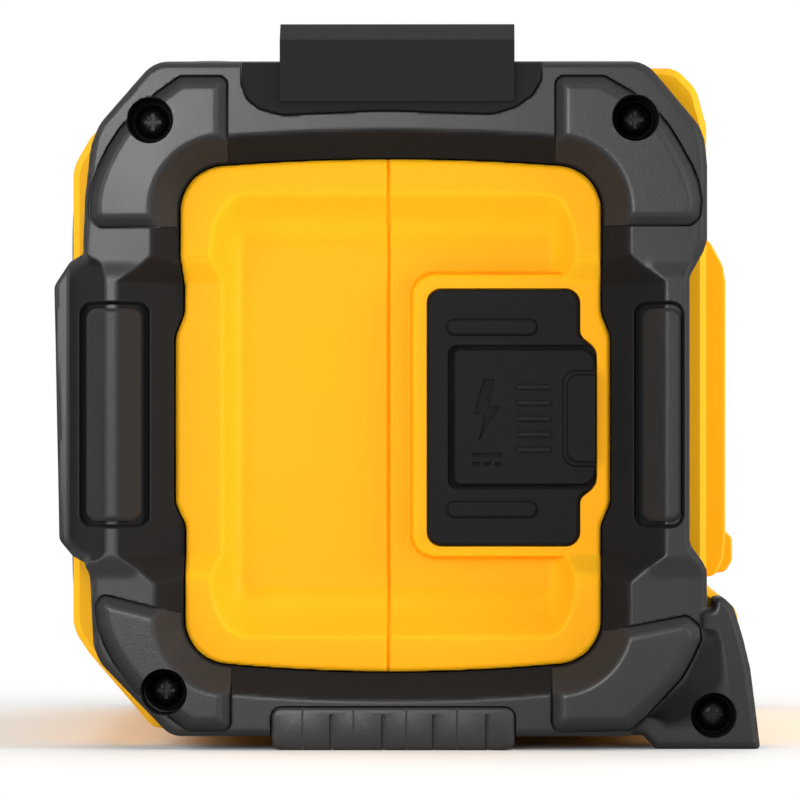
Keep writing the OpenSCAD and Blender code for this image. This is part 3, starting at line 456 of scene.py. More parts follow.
def add(tree, kind, inputs=None, **settings):
    """New shader node. inputs are constants or outputs for its sockets, and settings are its properties."""
    made = tree.nodes.new("ShaderNode" + kind)
    for key, value in settings.items():
        setattr(made, key, value)
    for key, value in (inputs or {}).items():
        plug(tree, value, made.inputs[key])
    return made


def ramp(tree, value, *stops):
    """Colour ramp through (position, colour) stops."""
    made = add(tree, "ValToRGB", {"Fac": value})
    elements = made.color_ramp.elements
    for element, (position, colour) in zip(elements, (stops[0], stops[-1])):
        element.position, element.color = position, colour
    for position, colour in stops[1:-1]:
        elements.new(position).color = colour
    return made.outputs["Color"]


def blend(tree, factor, first, second, kind="MIX"):
    """Mix of two colours."""
    inputs = {"Factor": factor, 6: first, 7: second}
    return add(tree, "Mix", inputs, data_type="RGBA", blend_type=kind).outputs[2]


def scale_to(tree, value, **ends):
    """Value mapped from one range to another. ends are from_min, from_max, to_min and to_max."""
    inputs = {key.replace("_", " ").title(): end for key, end in ends.items()}
    return add(tree, "MapRange", {"Value": value, **inputs}).outputs["Result"]


def new_material(name):
    mat = bpy.data.materials.new(name)
    mat.use_nodes = True
    return mat, mat.node_tree, mat.node_tree.nodes["Principled BSDF"]


def moulded(name, colour, rough, grain=2600, bump=0.12, mottle=0.06, wear_and_highlight=0.0, metallic=0.0,
            specular=0.5, fleck=0.0, slope=0.0, painted_wall_light=None, walls=False):
    """Moulded or cast surface: fine grain, faint mottling in colour and gloss, and edges painted lighter,
    partly as rubbed wear and partly as a painted highlight.

    slope is added to the roughness where the surface is not square to the part's ends, as in a mould
    whose drafted walls are eroded more coarsely than its faces. painted_wall_light is a paler colour painted
    on drafted walls as painted light, standing in for light that passes through the plastic. walls paints
    shade where mark_walls has marked the mesh as a drafted wall: a shaded copy of the material, darker, bluer
    and matt."""
    mat, tree, shader = new_material(name)
    place = add(tree, "TexCoord")
    spot = place.outputs["Object"]
    cloud = add(tree, "TexNoise", {"Vector": spot, "Scale": 38, "Detail": 4}).outputs["Fac"]
    dots = {"Vector": spot, "Scale": grain, "Detail": 3, "Roughness": 0.6}
    fine = add(tree, "TexNoise", dots).outputs["Fac"]
    base = ramp(tree, cloud, (0.3, scaled(colour, 1 - mottle)), (0.7, scaled(colour, 1 + mottle)))
    if fleck:
        speck = scale_to(tree, fine, from_min=0.35, from_max=0.75, to_min=1 - fleck, to_max=1 + fleck)
        base = blend(tree, 1, base, speck, "MULTIPLY")
    if wear_and_highlight:
        # Convex edges painted lighter: partly rubbed wear, partly a painted highlight
        bend = add(tree, "NewGeometry").outputs["Pointiness"]
        edge = scale_to(tree, bend, from_min=0.505, from_max=0.56, to_max=wear_and_highlight)
        base = blend(tree, edge, base, scaled(colour, 1.8, 0.02))
    parts = add(tree, "SeparateXYZ", {"Vector": place.outputs["Normal"]})
    square = add(tree, "Math", {0: parts.outputs["X"]}, operation="ABSOLUTE").outputs["Value"]
    if painted_wall_light:
        # Painted light: drafted walls painted paler, standing in for light that passes through the plastic
        band = ramp(tree, square, (0.1, BLANK), (0.3, FULL), (0.8, FULL), (0.97, BLANK))
        base = blend(tree, band, base, painted_wall_light)
    gloss = scale_to(tree, cloud, to_min=rough - 0.05, to_max=rough + 0.07)
    roughness = gloss
    if slope:
        draft = scale_to(tree, square, from_min=0.98, from_max=0.86, to_max=slope)
        roughness = add(tree, "Math", {0: gloss, 1: draft}).outputs["Value"]
    relief = add(tree, "Bump", {"Strength": bump, "Distance": 0.0003, "Height": fine}).outputs["Normal"]
    look = {"Base Color": base, "Roughness": roughness, "Normal": relief, "Metallic": metallic,
            "Specular IOR Level": specular}
    for key, value in look.items():
        plug(tree, value, shader.inputs[key])
    if walls:
        # Painted shade: a darker, bluer and matt copy of the material for the marked walls
        shaded_matt = add(tree, "BsdfPrincipled", {
            "Base Color": blend(tree, 1, base, WALL_SHADE, "MULTIPLY"),
            "Roughness": add(tree, "Math", {0: gloss, 1: 0.4}).outputs["Value"],
            "Normal": relief, "Specular IOR Level": 0.14,
        })
        mark = add(tree, "Attribute", attribute_name="wall").outputs["Fac"]
        both = add(tree, "MixShader", {"Fac": mark, 1: shader.outputs["BSDF"], 2: shaded_matt.outputs["BSDF"]})
        plug(tree, both.outputs["Shader"], tree.nodes["Material Output"].inputs["Surface"])
    return mat


def striped(name, colour, other, rough, scale, axis="Z", bump=0.2, metallic=0.0):
    """Surface with fine parallel lines, such as brushed metal, woven cloth or wound wire."""
    mat = moulded(name, colour, rough, metallic=metallic, bump=0.06)
    tree = mat.node_tree
    shader = tree.nodes["Principled BSDF"]
    spot = add(tree, "TexCoord").outputs["Object"]
    inputs = {"Vector": spot, "Scale": scale, "Distortion": 0.6, "Detail": 2}
    wave = add(tree, "TexWave", inputs, bands_direction=axis).outputs["Fac"]
    plug(tree, ramp(tree, wave, (0, colour), (1, other)), shader.inputs["Base Color"])
    relief = add(tree, "Bump", {"Strength": bump, "Distance": 0.0002, "Height": wave})
    plug(tree, relief.outputs["Normal"], shader.inputs["Normal"])
    return mat


SMOOTH_LOOK = dict(grain=2400, bump=0.08, mottle=0.08, wear_and_highlight=0.14, fleck=0.1, specular=0.38, slope=0.42)
FLAP_LOOK = dict(grain=2600, bump=0.12, mottle=0.06, fleck=0.08, specular=0.13)
# Yellow plastic whose drafted walls are painted paler, as painted light
YELLOW = moulded("yellow_plastic", srgb(254, 174, 9), 0.48, grain=3200, bump=0.05, mottle=0.012, wear_and_highlight=0.2,
                 specular=0.12, painted_wall_light=srgb(255, 187, 26))
BLACK = moulded("black_plastic", srgb(21, 20, 20), 0.3, **SMOOTH_LOOK)
# Black plastic with painted shade on its drafted walls
CAGE_BLACK = moulded("cage_plastic", srgb(21, 20, 20), 0.3, walls=True, **SMOOTH_LOOK)
DARK = moulded("handle_plastic", srgb(18, 17, 18), 0.66, grain=2400, bump=0.2, mottle=0.06, wear_and_highlight=0.12,
               fleck=0.1, specular=0.15)
PAD = moulded("pad_rubber", srgb(22, 21, 21), 0.3, grain=1700, bump=0.12, mottle=0.08, wear_and_highlight=0.14, fleck=0.12,
              specular=0.42, slope=0.42)
RIDGE = moulded("bumper_rubber", srgb(23, 22, 22), 0.38, grain=1700, bump=0.16, mottle=0.06, wear_and_highlight=0.14,
                fleck=0.12, specular=0.34, slope=0.4)
FLAP = moulded("flap_rubber", srgb(15, 14, 15), 0.6, **FLAP_LOOK)
# Ribs with strongly lightened edges: a painted highlight as well as rubbed wear
RIB = moulded("rib_rubber", srgb(15, 14, 15), 0.6, wear_and_highlight=0.5, **FLAP_LOOK)
BUTTON = moulded("button_rubber", srgb(38, 37, 39), 0.55, grain=2600, bump=0.15, wear_and_highlight=0.2, fleck=0.08)
MARK = moulded("button_mark", srgb(206, 205, 200), 0.5, bump=0.05)
SCREW = moulded("black_screw", srgb(26, 26, 27), 0.36, grain=900, bump=0.08, metallic=0.7, mottle=0.1)
STEEL = striped("steel_screw", srgb(150, 152, 155), srgb(172, 174, 176), 0.34, 900, metallic=1.0, bump=0.08)
GRILLE = moulded("grille_steel", srgb(52, 52, 54), 0.46, grain=1500, bump=0.15, mottle=0.06, wear_and_highlight=0.3,
                 metallic=0.2)
BASKET = moulded("basket_steel", srgb(48, 50, 54), 0.5, grain=1200, metallic=0.5)
MAGNET = moulded("magnet_iron", srgb(120, 122, 126), 0.45, grain=700, bump=0.2, metallic=0.8)
CONE = moulded("cone_paper", srgb(34, 34, 37), 0.8, grain=1300, bump=0.5, mottle=0.1, fleck=0.2)
COPPER = striped("coil_copper", srgb(172, 98, 48), srgb(206, 128, 70), 0.35, 2400, axis="Y", metallic=1.0)
SURROUND = moulded("surround_rubber", srgb(28, 28, 30), 0.5, grain=2200, bump=0.1)
SPIDER = striped("spider_cloth", srgb(176, 140, 74), srgb(206, 170, 100), 0.85, 1600, axis="X")
BOARD = striped("circuit_board", srgb(30, 92, 56), srgb(40, 112, 68), 0.4, 420, axis="X", bump=0.05)
BRIGHT = striped("bright_metal", srgb(190, 192, 194), srgb(212, 213, 214), 0.26, 1200, metallic=1.0,
                 bump=0.05)
SINK = striped("heatsink_metal", srgb(158, 162, 165), srgb(182, 185, 188), 0.4, 700, metallic=1.0, bump=0.1)
LENS = moulded("lens_clear", srgb(166, 214, 240), 0.16, bump=0.02, mottle=0.03)
BATTERY = moulded("battery_plastic", srgb(44, 43, 45), 0.55, grain=2000, bump=0.25, wear_and_highlight=0.2, fleck=0.1)


# Camera, as in the photograph: square on to the right end

data = bpy.data.cameras.new("camera")
data.sensor_width = 36
data.lens = 321.3
camera = placed("camera", data)
camera.location = (1.832, 0.018, 0.0836)
AIM = Vector((0.13, -0.0019, 0.0836))
camera.rotation_euler = (AIM - camera.location).to_track_quat("-Z", "Y").to_euler()
bpy.context.scene.camera = camera


# Yellow end panels

# Middle of the USB socket
SOCKET = (28.8, 79.5)
# Dished middle of a panel: its front, rear, lower and upper rim, and how wide it slopes at each
RIM = (-43.8, 44.3, 26.0, 133.6)
RAMPS = (9.4, 7.4, 15.0, 14.0)
# Its floor rises towards the top by this much, from one height to another
FLOOR_RISE, RISE_LOW, RISE_HIGH = 1.3, 106, 133
# How far the low side fields take to rise to the border
FIELD_RAMP = 5.6
# Boss of the USB bay: its front edge, middle height, half height and corner, its rounding and its slope
BOSS_FRONT, BOSS_MID, BOSS_HALF, BOSS_CORNER = 4.9, 79.9, 34.0, 5.5
BOSS_EDGE, BOSS_DRAFT = 1.1, 6.5
PANEL_EDGE = 1.3
SEAM_DEPTH, SEAM_WIDTH = 1.3, 0.36


def bowed(u0, u1, z_side, z_mid, count=14):
    """Points of a slightly bowed edge."""
    u = np.linspace(u0, u1, count)
    mid, half = (u0 + u1) / 2, abs(u1 - u0) / 2
    return [(a, z_mid + (z_side - z_mid) * ((a - mid) / half) ** 2) for a in u]


def side_arc(u0, z0, u1, z1, corner, count=12):
    """Elliptic quarter from (u0, z0) to (u1, z1), bulging towards the corner."""
    out = []
    for k in range(count + 1):
        t = 0.5 * math.pi * k / count
        a, b = 1 - math.cos(t), math.sin(t)
        along, up = (a, b) if corner == "z" else (b, a)
        out.append((u0 + (u1 - u0) * along, z0 + (z1 - z0) * up))
    return out


PANEL = rounded(
    bowed(-38.4, 38.4, 20.2, 18.5)
    + side_arc(39.4, 20.3, 50.2, 31.2, "u")
    + [(50.2, 53.8), (52.4, 58.6), (52.4, 99.0), (50.2, 104.5)]
    + side_arc(50.2, 128.9, 39.4, 139.8, "z")
    + bowed(38.4, -38.4, 139.9, 141.3)
    + side_arc(-39.9, 139.8, -50.7, 128.9, "u")
    + [(-50.7, 117.8), (-49.9, 111.5), (-49.9, 104.3), (-52.1, 99.0), (-52.1, 58.6), (-49.6, 53.6)]
    + side_arc(-49.6, 31.2, -38.8, 20.3, "z"),
    4.0,
)


def recess(u, z):
    """Depth share of the dished middle, from 0 at its rim to 1 on its floor."""
    a = np.minimum((u - RIM[0]) / RAMPS[0], (RIM[1] - u) / RAMPS[1])
    b = np.minimum((z - RIM[2]) / RAMPS[2], (RIM[3] - z) / RAMPS[3])
    a, b = np.minimum(a, 1), np.minimum(b, 1)
    t = np.clip(1 - np.hypot(1 - a, 1 - b), 0, 1)
    soft, curve = 0.1, 2.2
    t = (np.hypot(t, soft) - soft) / (math.hypot(1, soft) - soft)
    return 1 - (1 - t) ** curve


def field_level(z):
    """Level of the low side fields, which rise to the border above and below."""
    ramp_up = np.maximum(np.maximum(z - FIELD_HIGH, FIELD_LOW - z), 0)
    return FIELD + ramp_up * (BORDER - FIELD) / FIELD_RAMP


def edge_drop(e, r):
    """How far a rounded edge lies below its face at a distance e inside an outline."""
    t = np.clip((r - e) / r, 0, 1)
    return r - np.sqrt(np.maximum(r * r - (r * t) ** 2, 0))


def boss_level(u, z):
    """Raised boss of the USB bay, with a round-cornered plan that runs out to the right."""
    qu = np.maximum(BOSS_FRONT + BOSS_CORNER - u, 0)
    qz = np.maximum(np.abs(z - BOSS_MID) - BOSS_HALF + BOSS_CORNER, 0)
    e = BOSS_CORNER - np.hypot(qu, qz)
    return FIELD - edge_drop(e, BOSS_EDGE) + BOSS_DRAFT * np.minimum(e, 0)


def panel_level(u, z, usb):
    """Level of an end panel's face."""
    floor = FLOOR + FLOOR_RISE * np.clip((z - RISE_LOW) / (RISE_HIGH - RISE_LOW), 0, 1) ** 2
    h = BORDER - (BORDER - floor) * recess(u, z)
    h = smin(h, field_level(z), 1.5)
    if usb:
        h = smax(h, boss_level(u, z), 0.7)
    h = h - edge_drop(inside(u, z, PANEL), PANEL_EDGE)
    return h - SEAM_DEPTH * np.exp(-((u - SEAM) / SEAM_WIDTH) ** 2)


# Grid lines of a panel: closer together at its edges, the seam and the rims
PANEL_US = lines(-53.2, 53.4, 0.7, [(-52.6, -48.0, 0.3), (-44, -36, 0.45), (-2.6, 1.0, 0.16),
                                    (3.6, 7.2, 0.22), (37, 48.4, 0.4), (48.4, 53.4, 0.3)])
PANEL_ZS = lines(17.4, 142.2, 0.7, [(17.4, 22, 0.3), (25, 28, 0.3), (40.4, 48.4, 0.3), (110.6, 118.4, 0.3),
                                    (132, 134.4, 0.3), (138, 142.2, 0.3)])


def end_panel(name, usb):
    obj = slab(name, PANEL_US, PANEL_ZS, lambda u, z: panel_level(u, z, usb), MID - 3)
    return cut(obj, PANEL, MID - 1, operation="INTERSECT")


PLATE = rounded(
    [(8.6, 48.6), (45.0, 48.6), (45.0, 60.0), (49.05, 63.2), (49.05, 95.8), (45.0, 99.0), (45.0, 110.2),
     (8.6, 110.2)],
    [3.3, 3.3, 2.6, 3.6, 3.6, 2.6, 3.3, 3.3],
)
right_panel = end_panel("right_panel", True)
cut(right_panel, grown(PLATE, 0.3), 110.5)
cut(right_panel, box_at(*SOCKET, 3.5, 7.2), 80)
plain_panel = end_panel("plain_panel", False)
left_panel = mirrored("left_panel", plain_panel)
discard(plain_panel)

# Housing between the cages: the CAD solids with rounded outer edges

BODY = rounded(
    [(-77.5, 28), (-73.5, 22), (-58, 4), (78, 4), (84, 12), (83.5, 33), (76, 38.4), (76, 150), (73.5, 159),
     (68.5, 164), (-58, 164), (-73.5, 147), (-77.5, 140)],
    [10, 10, 5, 3, 4, 5, 3, 8, 8, 6, 6, 10, 10],
)
BODY_EDGE = 1.6
RAIL = rounded(
    [(75, 39.6), (79.4, 40.0), (81.5, 44.0), (82.0, 50.0), (82.1, 113.0), (81.4, 117.0), (78.4, 122.6),
     (75, 125.8)],
    [0, 2, 4, 6, 6, 4, 4, 0],
)
RAIL_ENDS = ((0, 0.9), (0.25, 0.25), (0.9, 0))
RAIL_WIDTH = 4.2
HINGE = box(74.0, 80.6, 112.4, 119.2)

for half, side in (("front_housing", box(-400, SEAM, -50, 300)), ("rear_housing", box(SEAM, 400, -50, 300))):
    shell = clean_copy(half + "_shell", half)
    rings = [(grown(BODY, -BODY_EDGE), -MID), (BODY, -MID + BODY_EDGE), (BODY, MID - BODY_EDGE),
             (grown(BODY, -BODY_EDGE), MID)]
    keep = loft("keep", [(grown(outline, 0.02), x) for outline, x in rings])
    rails = []
    if half == "rear_housing":
        cut(keep, HINGE, -49, 49, operation="UNION")
        # Guard rails on both sides of the battery door
        rails = [bar("guard_rail", RAIL, x, x + RAIL_WIDTH, RAIL_ENDS) for x in (54.9, -59.1)]
    carve(shell, keep, operation="INTERSECT")
    merge_flats(shell.data)
    pieces = [shell] + rails
    for panel in (right_panel, left_panel):
        part = placed(half + "_panel", panel.data.copy())
        cut(part, side, -200, 200, operation="INTERSECT")
        pieces.append(part)
    whole = joined(half + "_piece", pieces)
    finished(whole, YELLOW, slot="yellow_plastic", nodes=[half], sharp=28, flat=True)
discard(right_panel)
discard(left_panel)

# Black end cages

CAGE = rounded(
    [(-52.7, 3.3), (60.2, 3.3), (63.2, 0), (88.3, 0), (87.3, 8.3), (85.9, 19.3), (84.2, 26.4), (81.9, 34),
     (79.4, 36.4), (77.2, 36.2), (76.9, 33.6), (75.4, 33.6), (75.3, 43), (74.3, 45), (71.2, 49.2),
     (71.2, 113.2), (74.4, 118.8), (75.4, 121.7), (75.4, 139.5), (74.8, 145.5), (73.6, 149), (60.6, 164.5),
     (-56.7, 164.5), (-69.8, 149.5), (-71.8, 144.3), (-73.2, 132.1), (-73.7, 118.6), (-77.2, 116.8),
     (-81.0, 111.0), (-79.8, 50.0), (-76.6, 46.2), (-73.4, 44.6), (-72.0, 41.6), (-71.2, 24.8),
     (-69.5, 20.7)],
    [6, 1.5, 1.5, 1, 3, 6, 6, 3, 2, 1.0, 0.7, 0.7, 2, 3, 4, 4, 4, 4, 6, 6, 8, 8, 8, 10, 12, 14, 1.2, 3, 3,
     3, 3, 1.5, 6, 8, 6],
)
# Corner pads, as measured on the right end
PADS = [rounded(points, 2.0) for points in (
    [(-39.3, 160.8), (-39.3, 125.2), (-69.6, 125.0), (-72.0, 126.8), (-72.1, 131), (-71.4, 135),
     (-69.8, 139.5), (-67.6, 144), (-65, 148.1), (-62.4, 151), (-56.2, 156.7), (-50.5, 160.8)],
    [(39.3, 160.8), (50.8, 160.8), (57.6, 156.9), (64, 151.7), (66.2, 149), (68.8, 144.8), (71.7, 139.5),
     (73.3, 135.5), (74, 131.2), (73.6, 127.2), (71.4, 125.4), (39.3, 125.4)],
    [(-38.5, 4.6), (-48.5, 4.8), (-53.2, 8.3), (-60.5, 13.8), (-63.6, 17.4), (-66.4, 21.4), (-68.6, 25.7),
     (-70, 29.5), (-70.5, 34.6), (-69.2, 37.1), (-48, 31.8), (-38.5, 29.6)],
    [(38.5, 4.6), (57, 4.9), (61.7, 9.3), (65.2, 12.9), (69.3, 17.4), (71.9, 22.1), (73.8, 26.4),
     (73.4, 29.8), (70.6, 32.1), (52.9, 28.6), (38.5, 26.0)],
)]
# Outer edge of the lower rear pad, carried on up the foot
FOOT_Z = [0, 9.3, 12.9, 17.4, 22.1, 26.4, 29.8, 32.1, 34, 36]
FOOT_U = [53, 61.7, 65.2, 69.3, 71.9, 73.8, 73.4, 73.6, 75.0, 76.5]
SCREWS = [(-57.7, 150.5), (58.3, 151.0), (-54.4, 13.8), (77.1, 8.1)]
BORE_R = 5.45
# Levels on which the corner pads lie, and the screws and the foot pad
PAD_SEAT, SEAT = 125.4, 112
# Gaps round the panel, and round the handle's end and the foot pad
PANEL_GAP, BASE_GAP = 0.4, 0.35
# Slope round the panel: its level at the gap, and its rise
BEVEL_LOW, BEVEL_RISE = 119.4, 1.42
# Grooves round the bumper pads, and the pads, at the front and the rear
GROOVES = (box(-74.8, -57.9, 53.1, 107.1, 3.2), box(58.0, 69.9, 53.1, 107.1, 3.2))
BUMPERS = (box(-73.0, -60.0, 54.7, 105.5, 2.6), box(60.1, 69.0, 54.7, 105.5, 2.6))


def bevel(s):
    """Level of the slope round the panel at a distance s from it."""
    return BEVEL_LOW + (s - PANEL_GAP) * BEVEL_RISE


def ridge(u, z, face, rise=0.0):
    """Cage face with the slopes round the panel, the bumpers and the foot."""
    s = -inside(u, z, PANEL)
    out = np.abs(u)
    past = np.maximum(z - FIELD_HIGH, 0) + np.maximum(FIELD_LOW - z, 0)
    # The bumpers stand a little above the face, and slope down to the panel's low fields
    crest = smooth((out - 60) / 3) * smooth(1 - past / 6)
    h = smin(face + 0.9 * crest, bevel(s) + rise, 0.9)
    facet = 115.3 + (out - 52.3) * 1.05 + 1.23 * past
    h = np.where(out > 49, smin(h, facet, 0.8), h)
    # The front bumper stands on a lower strip, with a rounded slope down to it
    a, r = -68.2 - u, 6.5
    b = 2.2 * (np.minimum(118.2 - z, z - 44.6) + 1.5 * np.maximum(-72.2 - u, 0))
    corner = r - np.hypot(np.maximum(r - a, 0), np.maximum(r - b, 0))
    e = np.where((a < r) & (b < r), corner, np.minimum(a, b))
    h = np.where(u < -60, smin(h, smax(129.2 - 1.04 * e, STRIP, 0.7), 0.8), h)
    # The foot falls from the pad's seam to a flat band along its outer edge
    q = np.maximum(u - np.interp(z, FOOT_Z, FOOT_U) - 0.4, 0)
    rest = np.maximum(inside(u, z, CAGE) - 5.0, 0)
    foot = FACE + 0.2 - 6.2 * smooth(0.06 + 0.94 * q / np.maximum(q + rest, 1e-6))
    return np.where((u > 50) & (z < 37) & (q > 0), np.minimum(h, foot), h)


def cage_level(u, z):
    h = ridge(u, z, FACE)
    for outline in GROOVES:
        h = h - 2.4 * np.clip(inside(u, z, outline) / 0.5, 0, 1)
    return h - edge_drop(inside(u, z, CAGE), np.where(u < -74.5, 0.8, 1.5))


def counterbore(obj, r, x0):
    for u, z in SCREWS:
        cut(obj, circle(u, z, r), x0)


HANDLE_BASE = rounded(
    [(-35.7, 168), (-35.7, 159.2), (-34.4, 155.6), (-31.6, 153.2), (-26, 151.7), (-2.1, 152.8), (24, 151.9),
     (29.5, 153.6), (33.6, 156.4), (35.7, 160), (35.7, 168)],
    [0, 3, 3, 4, 6, 60, 6, 4, 3, 3, 0],
)
FOOT_PAD = box(-28.6, 29.4, -2.0, 10.2, 2.6)


def mark_walls(data):
    """Marks the drafted walls of a cage's face in the vertex attribute wall, from 0 to 1, for the painted
    shade of the cage's material.
    """
    place, normal = np.empty(3 * len(data.vertices)), np.empty(3 * len(data.vertices))
    data.vertices.foreach_get("co", place)
    data.vertices.foreach_get("normal", normal)
    u, z = place[1::3] / MM - PANEL_Y, place[2::3] / MM
    across = np.abs(normal[::3])
    foot = smooth((u - 64) / 4) * smooth((38 - z) / 4)
    share = smooth((0.93 + 0.05 * foot - across) / 0.09) * smooth((across - 0.15) / 0.2)
    share *= smooth((inside(u, z, CAGE) - 1.2) / 1.6)
    mark = data.attributes.new("wall", "FLOAT", "POINT")
    mark.data.foreach_set("value", share)


us = lines(-81.4, 89.2, 0.62, [(-75.3, -72.6, 0.3), (-69.6, -64, 0.3), (-60.6, -57.4, 0.3),
                               (57.4, 60.6, 0.3), (64, 71.6, 0.3)])
zs = lines(-0.6, 165.2, 0.62, [(44, 47.6, 0.35), (52.6, 55.2, 0.3), (105, 107.7, 0.3), (111, 118.6, 0.35)])
cage = slab("cage_right_piece", us, zs, cage_level, MID + 0.2)
cut(cage, CAGE, MID - 2, operation="INTERSECT")
cut(cage, grown(PANEL, PANEL_GAP), MID - 2)
for outline in PADS:
    cut(cage, grown(outline, 0.38), PAD_SEAT)
counterbore(cage, BORE_R, SEAT)
cut(cage, grown(HANDLE_BASE, BASE_GAP), 126.8)
cut(cage, grown(FOOT_PAD, BASE_GAP), SEAT)
mark_walls(cage.data)
finish_pair("cage", cage, CAGE_BLACK, "black_plastic", flat=True)


def pad_piece(name, outline, level, step=0.6, base=118.0, chamfer=None, edge=0.0):
    """Block with a plan and the surface x = level(u, z), with a chamfer or a rounding along its edge."""
    low, high = outline.min(0) - 0.8, outline.max(0) + 0.8
    us = lines(low[0], high[0], step)
    zs = lines(low[1], high[1], step)

    def height(u, z):
        e = inside(u, z, outline)
        h = level(u, z)
        if chamfer:
            h = smin(h, chamfer + 0.85 * e, 0.7)
        return h - edge_drop(e, edge) if edge else h

    obj = slab(name, us, zs, height, base)
    return cut(obj, outline, base - 1, operation="INTERSECT")


pads = []
for outline in PADS:
    pad = pad_piece("pad", outline, lambda u, z: ridge(u, z, FACE + 1.4, 0.8), chamfer=127.5)
    cut(pad, grown(PANEL, 0.9), 100)
    counterbore(pad, BORE_R + 0.25, 100)
    pads.append(pad)
finish_pair("corner_pads", joined("corner_pads_right_piece", pads), PAD, "pad_rubber")

strips = [
    pad_piece("strip", outline, lambda u, z: ridge(u, z, FACE) + 0.25, step=0.45, base=110.0, edge=1.1)
    for outline in BUMPERS
]
finish_pair("bumper_pads", joined("bumper_pads_right_piece", strips), RIDGE, "pad_rubber")

foot = cushion("foot_pad_right_piece", box(-28.6, 29.4, 0.0, 10.2, 2.4), SEAT + 0.2, FACE + 0.6, 0.9)
# Deep slots, and fine lines between them
for u in (-14.3, -1.9, 10.2, 22.9):
    cut(foot, box(u - 0.5, u + 0.5, -2, 8.6, 0.4), 126.2)
for u in (-21.2, -9.0, 3.6, 15.7):
    cut(foot, box(u - 0.22, u + 0.22, -2, 12), FACE)
finish_pair("foot_pad", foot, PAD, "pad_rubber")

# Black screws deep in their counterbores, with a cross recess
SCREW_HEAD = [(2.0, -12), (2.0, 0), (4.9, 0), (5.0, 0.4), (4.9, 0.9), (4.1, 1.1), (3.8, 1.9), (2.8, 2.7),
              (1.2, 3.0)]
heads = []
for u, z in SCREWS:
    head = turned("head", SCREW_HEAD, (SEAT + 0.05, u, z), (1, 0, 0), 32)
    for half_u, half_z in ((2.1, 0.5), (0.5, 2.1)):
        cut(head, box_at(u, z, half_u, half_z, 0.2), SEAT + 1.2)
    heads += [head, mirrored("head_m", head)]
finished(joined("cage_screws_piece", heads), SCREW, slot="black_screw", nodes=["cage_screws"])

# USB bay

POCKET = rounded([(13.4, 62.1), (60, 62.1), (60, 96.9), (13.4, 96.9)], [2.4, 0, 0, 2.4])
PILL_ZS = (101.1, 57.3)
plate = cushion("usb_plate_piece", PLATE, 110.65, 115.0, 0.9)
cut(plate, POCKET, 112.1)
# Room for the flap's hinge, and the opening of the socket
cut(plate, box(14.2, 18.6, 62.6, 96.4, 0.8), 111.4)
cut(plate, box_at(*SOCKET, 3.2, 6.9), 100)
pills = [cushion("pill", box(13.1, 35.0, z - 2.05, z + 2.05, 2.0), 114.6, 116.0, 0.9) for z in PILL_ZS]
for part in [plate] + pills:
    merge_flats(part.data)
finished(joined("usb_plate_piece", [plate] + pills), FLAP, slot="flap_rubber", nodes=["usb_plate"], flat=True)

FLAP_PLAN = rounded([(14.9, 63.2), (48.9, 63.2), (48.9, 95.8), (14.9, 95.8)], [1.6, 3.4, 3.4, 1.6])
RIB_ZS = (86.7, 82.9, 79.1, 75.3, 71.6)
flap = cushion("usb_flap_piece", FLAP_PLAN, 112.5, 114.9, 0.6)
# Engraved bolt and direct current mark
BOLT = [(24.6, 88.6), (22.0, 88.6), (19.6, 80.2), (22.2, 80.2), (20.8, 73.6), (26.2, 82.2), (23.4, 82.2)]
MARKS = [turned_left(BOLT), box(19.4, 26.6, 69.9, 70.9)]
MARKS += [box(u, u + 1.8, 67.7, 68.7) for u in (19.4, 22.1, 24.8)]
for mark in MARKS:
    cut(flap, mark, 114.0)
tab = cushion("tab", box(41.0, 56, 67.5, 90.8, 3.4), 114.0, 115.7, 0.7)
carve(tab, cushion("raised", box(42.0, 56, 68.5, 89.8, 2.8), 114.5, 116.5, 0.8), operation="UNION")
cut(tab, grown(FLAP_PLAN, -0.12), 113.0, operation="INTERSECT")
for part in (flap, tab):
    merge_flats(part.data)
whole = joined("usb_flap_piece", [flap, tab])
finished(whole, FLAP, body="usb_flap", slot="flap_rubber", nodes=["usb_flap"], flat=True)
ribs = [cushion("rib", box(30.0, 38.4, z - 0.65, z + 0.65, 0.6), 114.4, 115.8, 0.55) for z in RIB_ZS]
finished(joined("usb_flap_ribs", ribs), RIB, body="usb_flap", slot="flap_rubber")

# Handle, deck and controls

HANDLE_TOP, HANDLE_HALF = 164.2, 35.7
handle = softened("handle_body", "carry_handle", 1.6, 4)
plan = [p for p in HANDLE_BASE if p[1] < HANDLE_TOP] + [(HANDLE_HALF, HANDLE_TOP), (-HANDLE_HALF, HANDLE_TOP)]
base = cushion("handle_base", rounded(plan, 0.0), 124.0, FACE + 0.5, 0.6)
whole = joined("carry_handle_piece", [handle, base, mirrored("handle_base_m", base)])
finished(whole, DARK, slot="black_plastic", nodes=["carry_handle"], flat=True)

# Grip: grooves at an even pitch between rounded ends
GRIP = box_at(1.4, 167.0, 15.0, 6.5, 4.6)
GRIP_HALF, GRIP_END, GROOVE_PITCH, GROOVE_DEPTH = 60, 1.5, 6, 0.75
rings = []
for x in np.arange(-GRIP_HALF, GRIP_HALF + 0.01, 0.5):
    end = min(GRIP_HALF - abs(x), GRIP_END)
    inset = 1.2 * (1 - math.sqrt(max(0.0, 1 - (1 - end / GRIP_END) ** 2)))
    if abs(x) < GRIP_HALF - GROOVE_PITCH:
        turn = (x % GROOVE_PITCH - GROOVE_PITCH / 2) / GROOVE_PITCH * 2 * math.pi
        inset += GROOVE_DEPTH * max(0.0, math.cos(turn)) ** 3
    rings.append((grown(GRIP, -inset), x))
finished(loft("handle_grip_piece", rings), RIDGE, slot="pad_rubber", nodes=["handle_grip"])

for name, width in (("top_deck", 0.8), ("control_panel", 0.5)):
    finished(softened(name + "_piece", name, width), BLACK, slot="black_plastic", nodes=[name], flat=True)


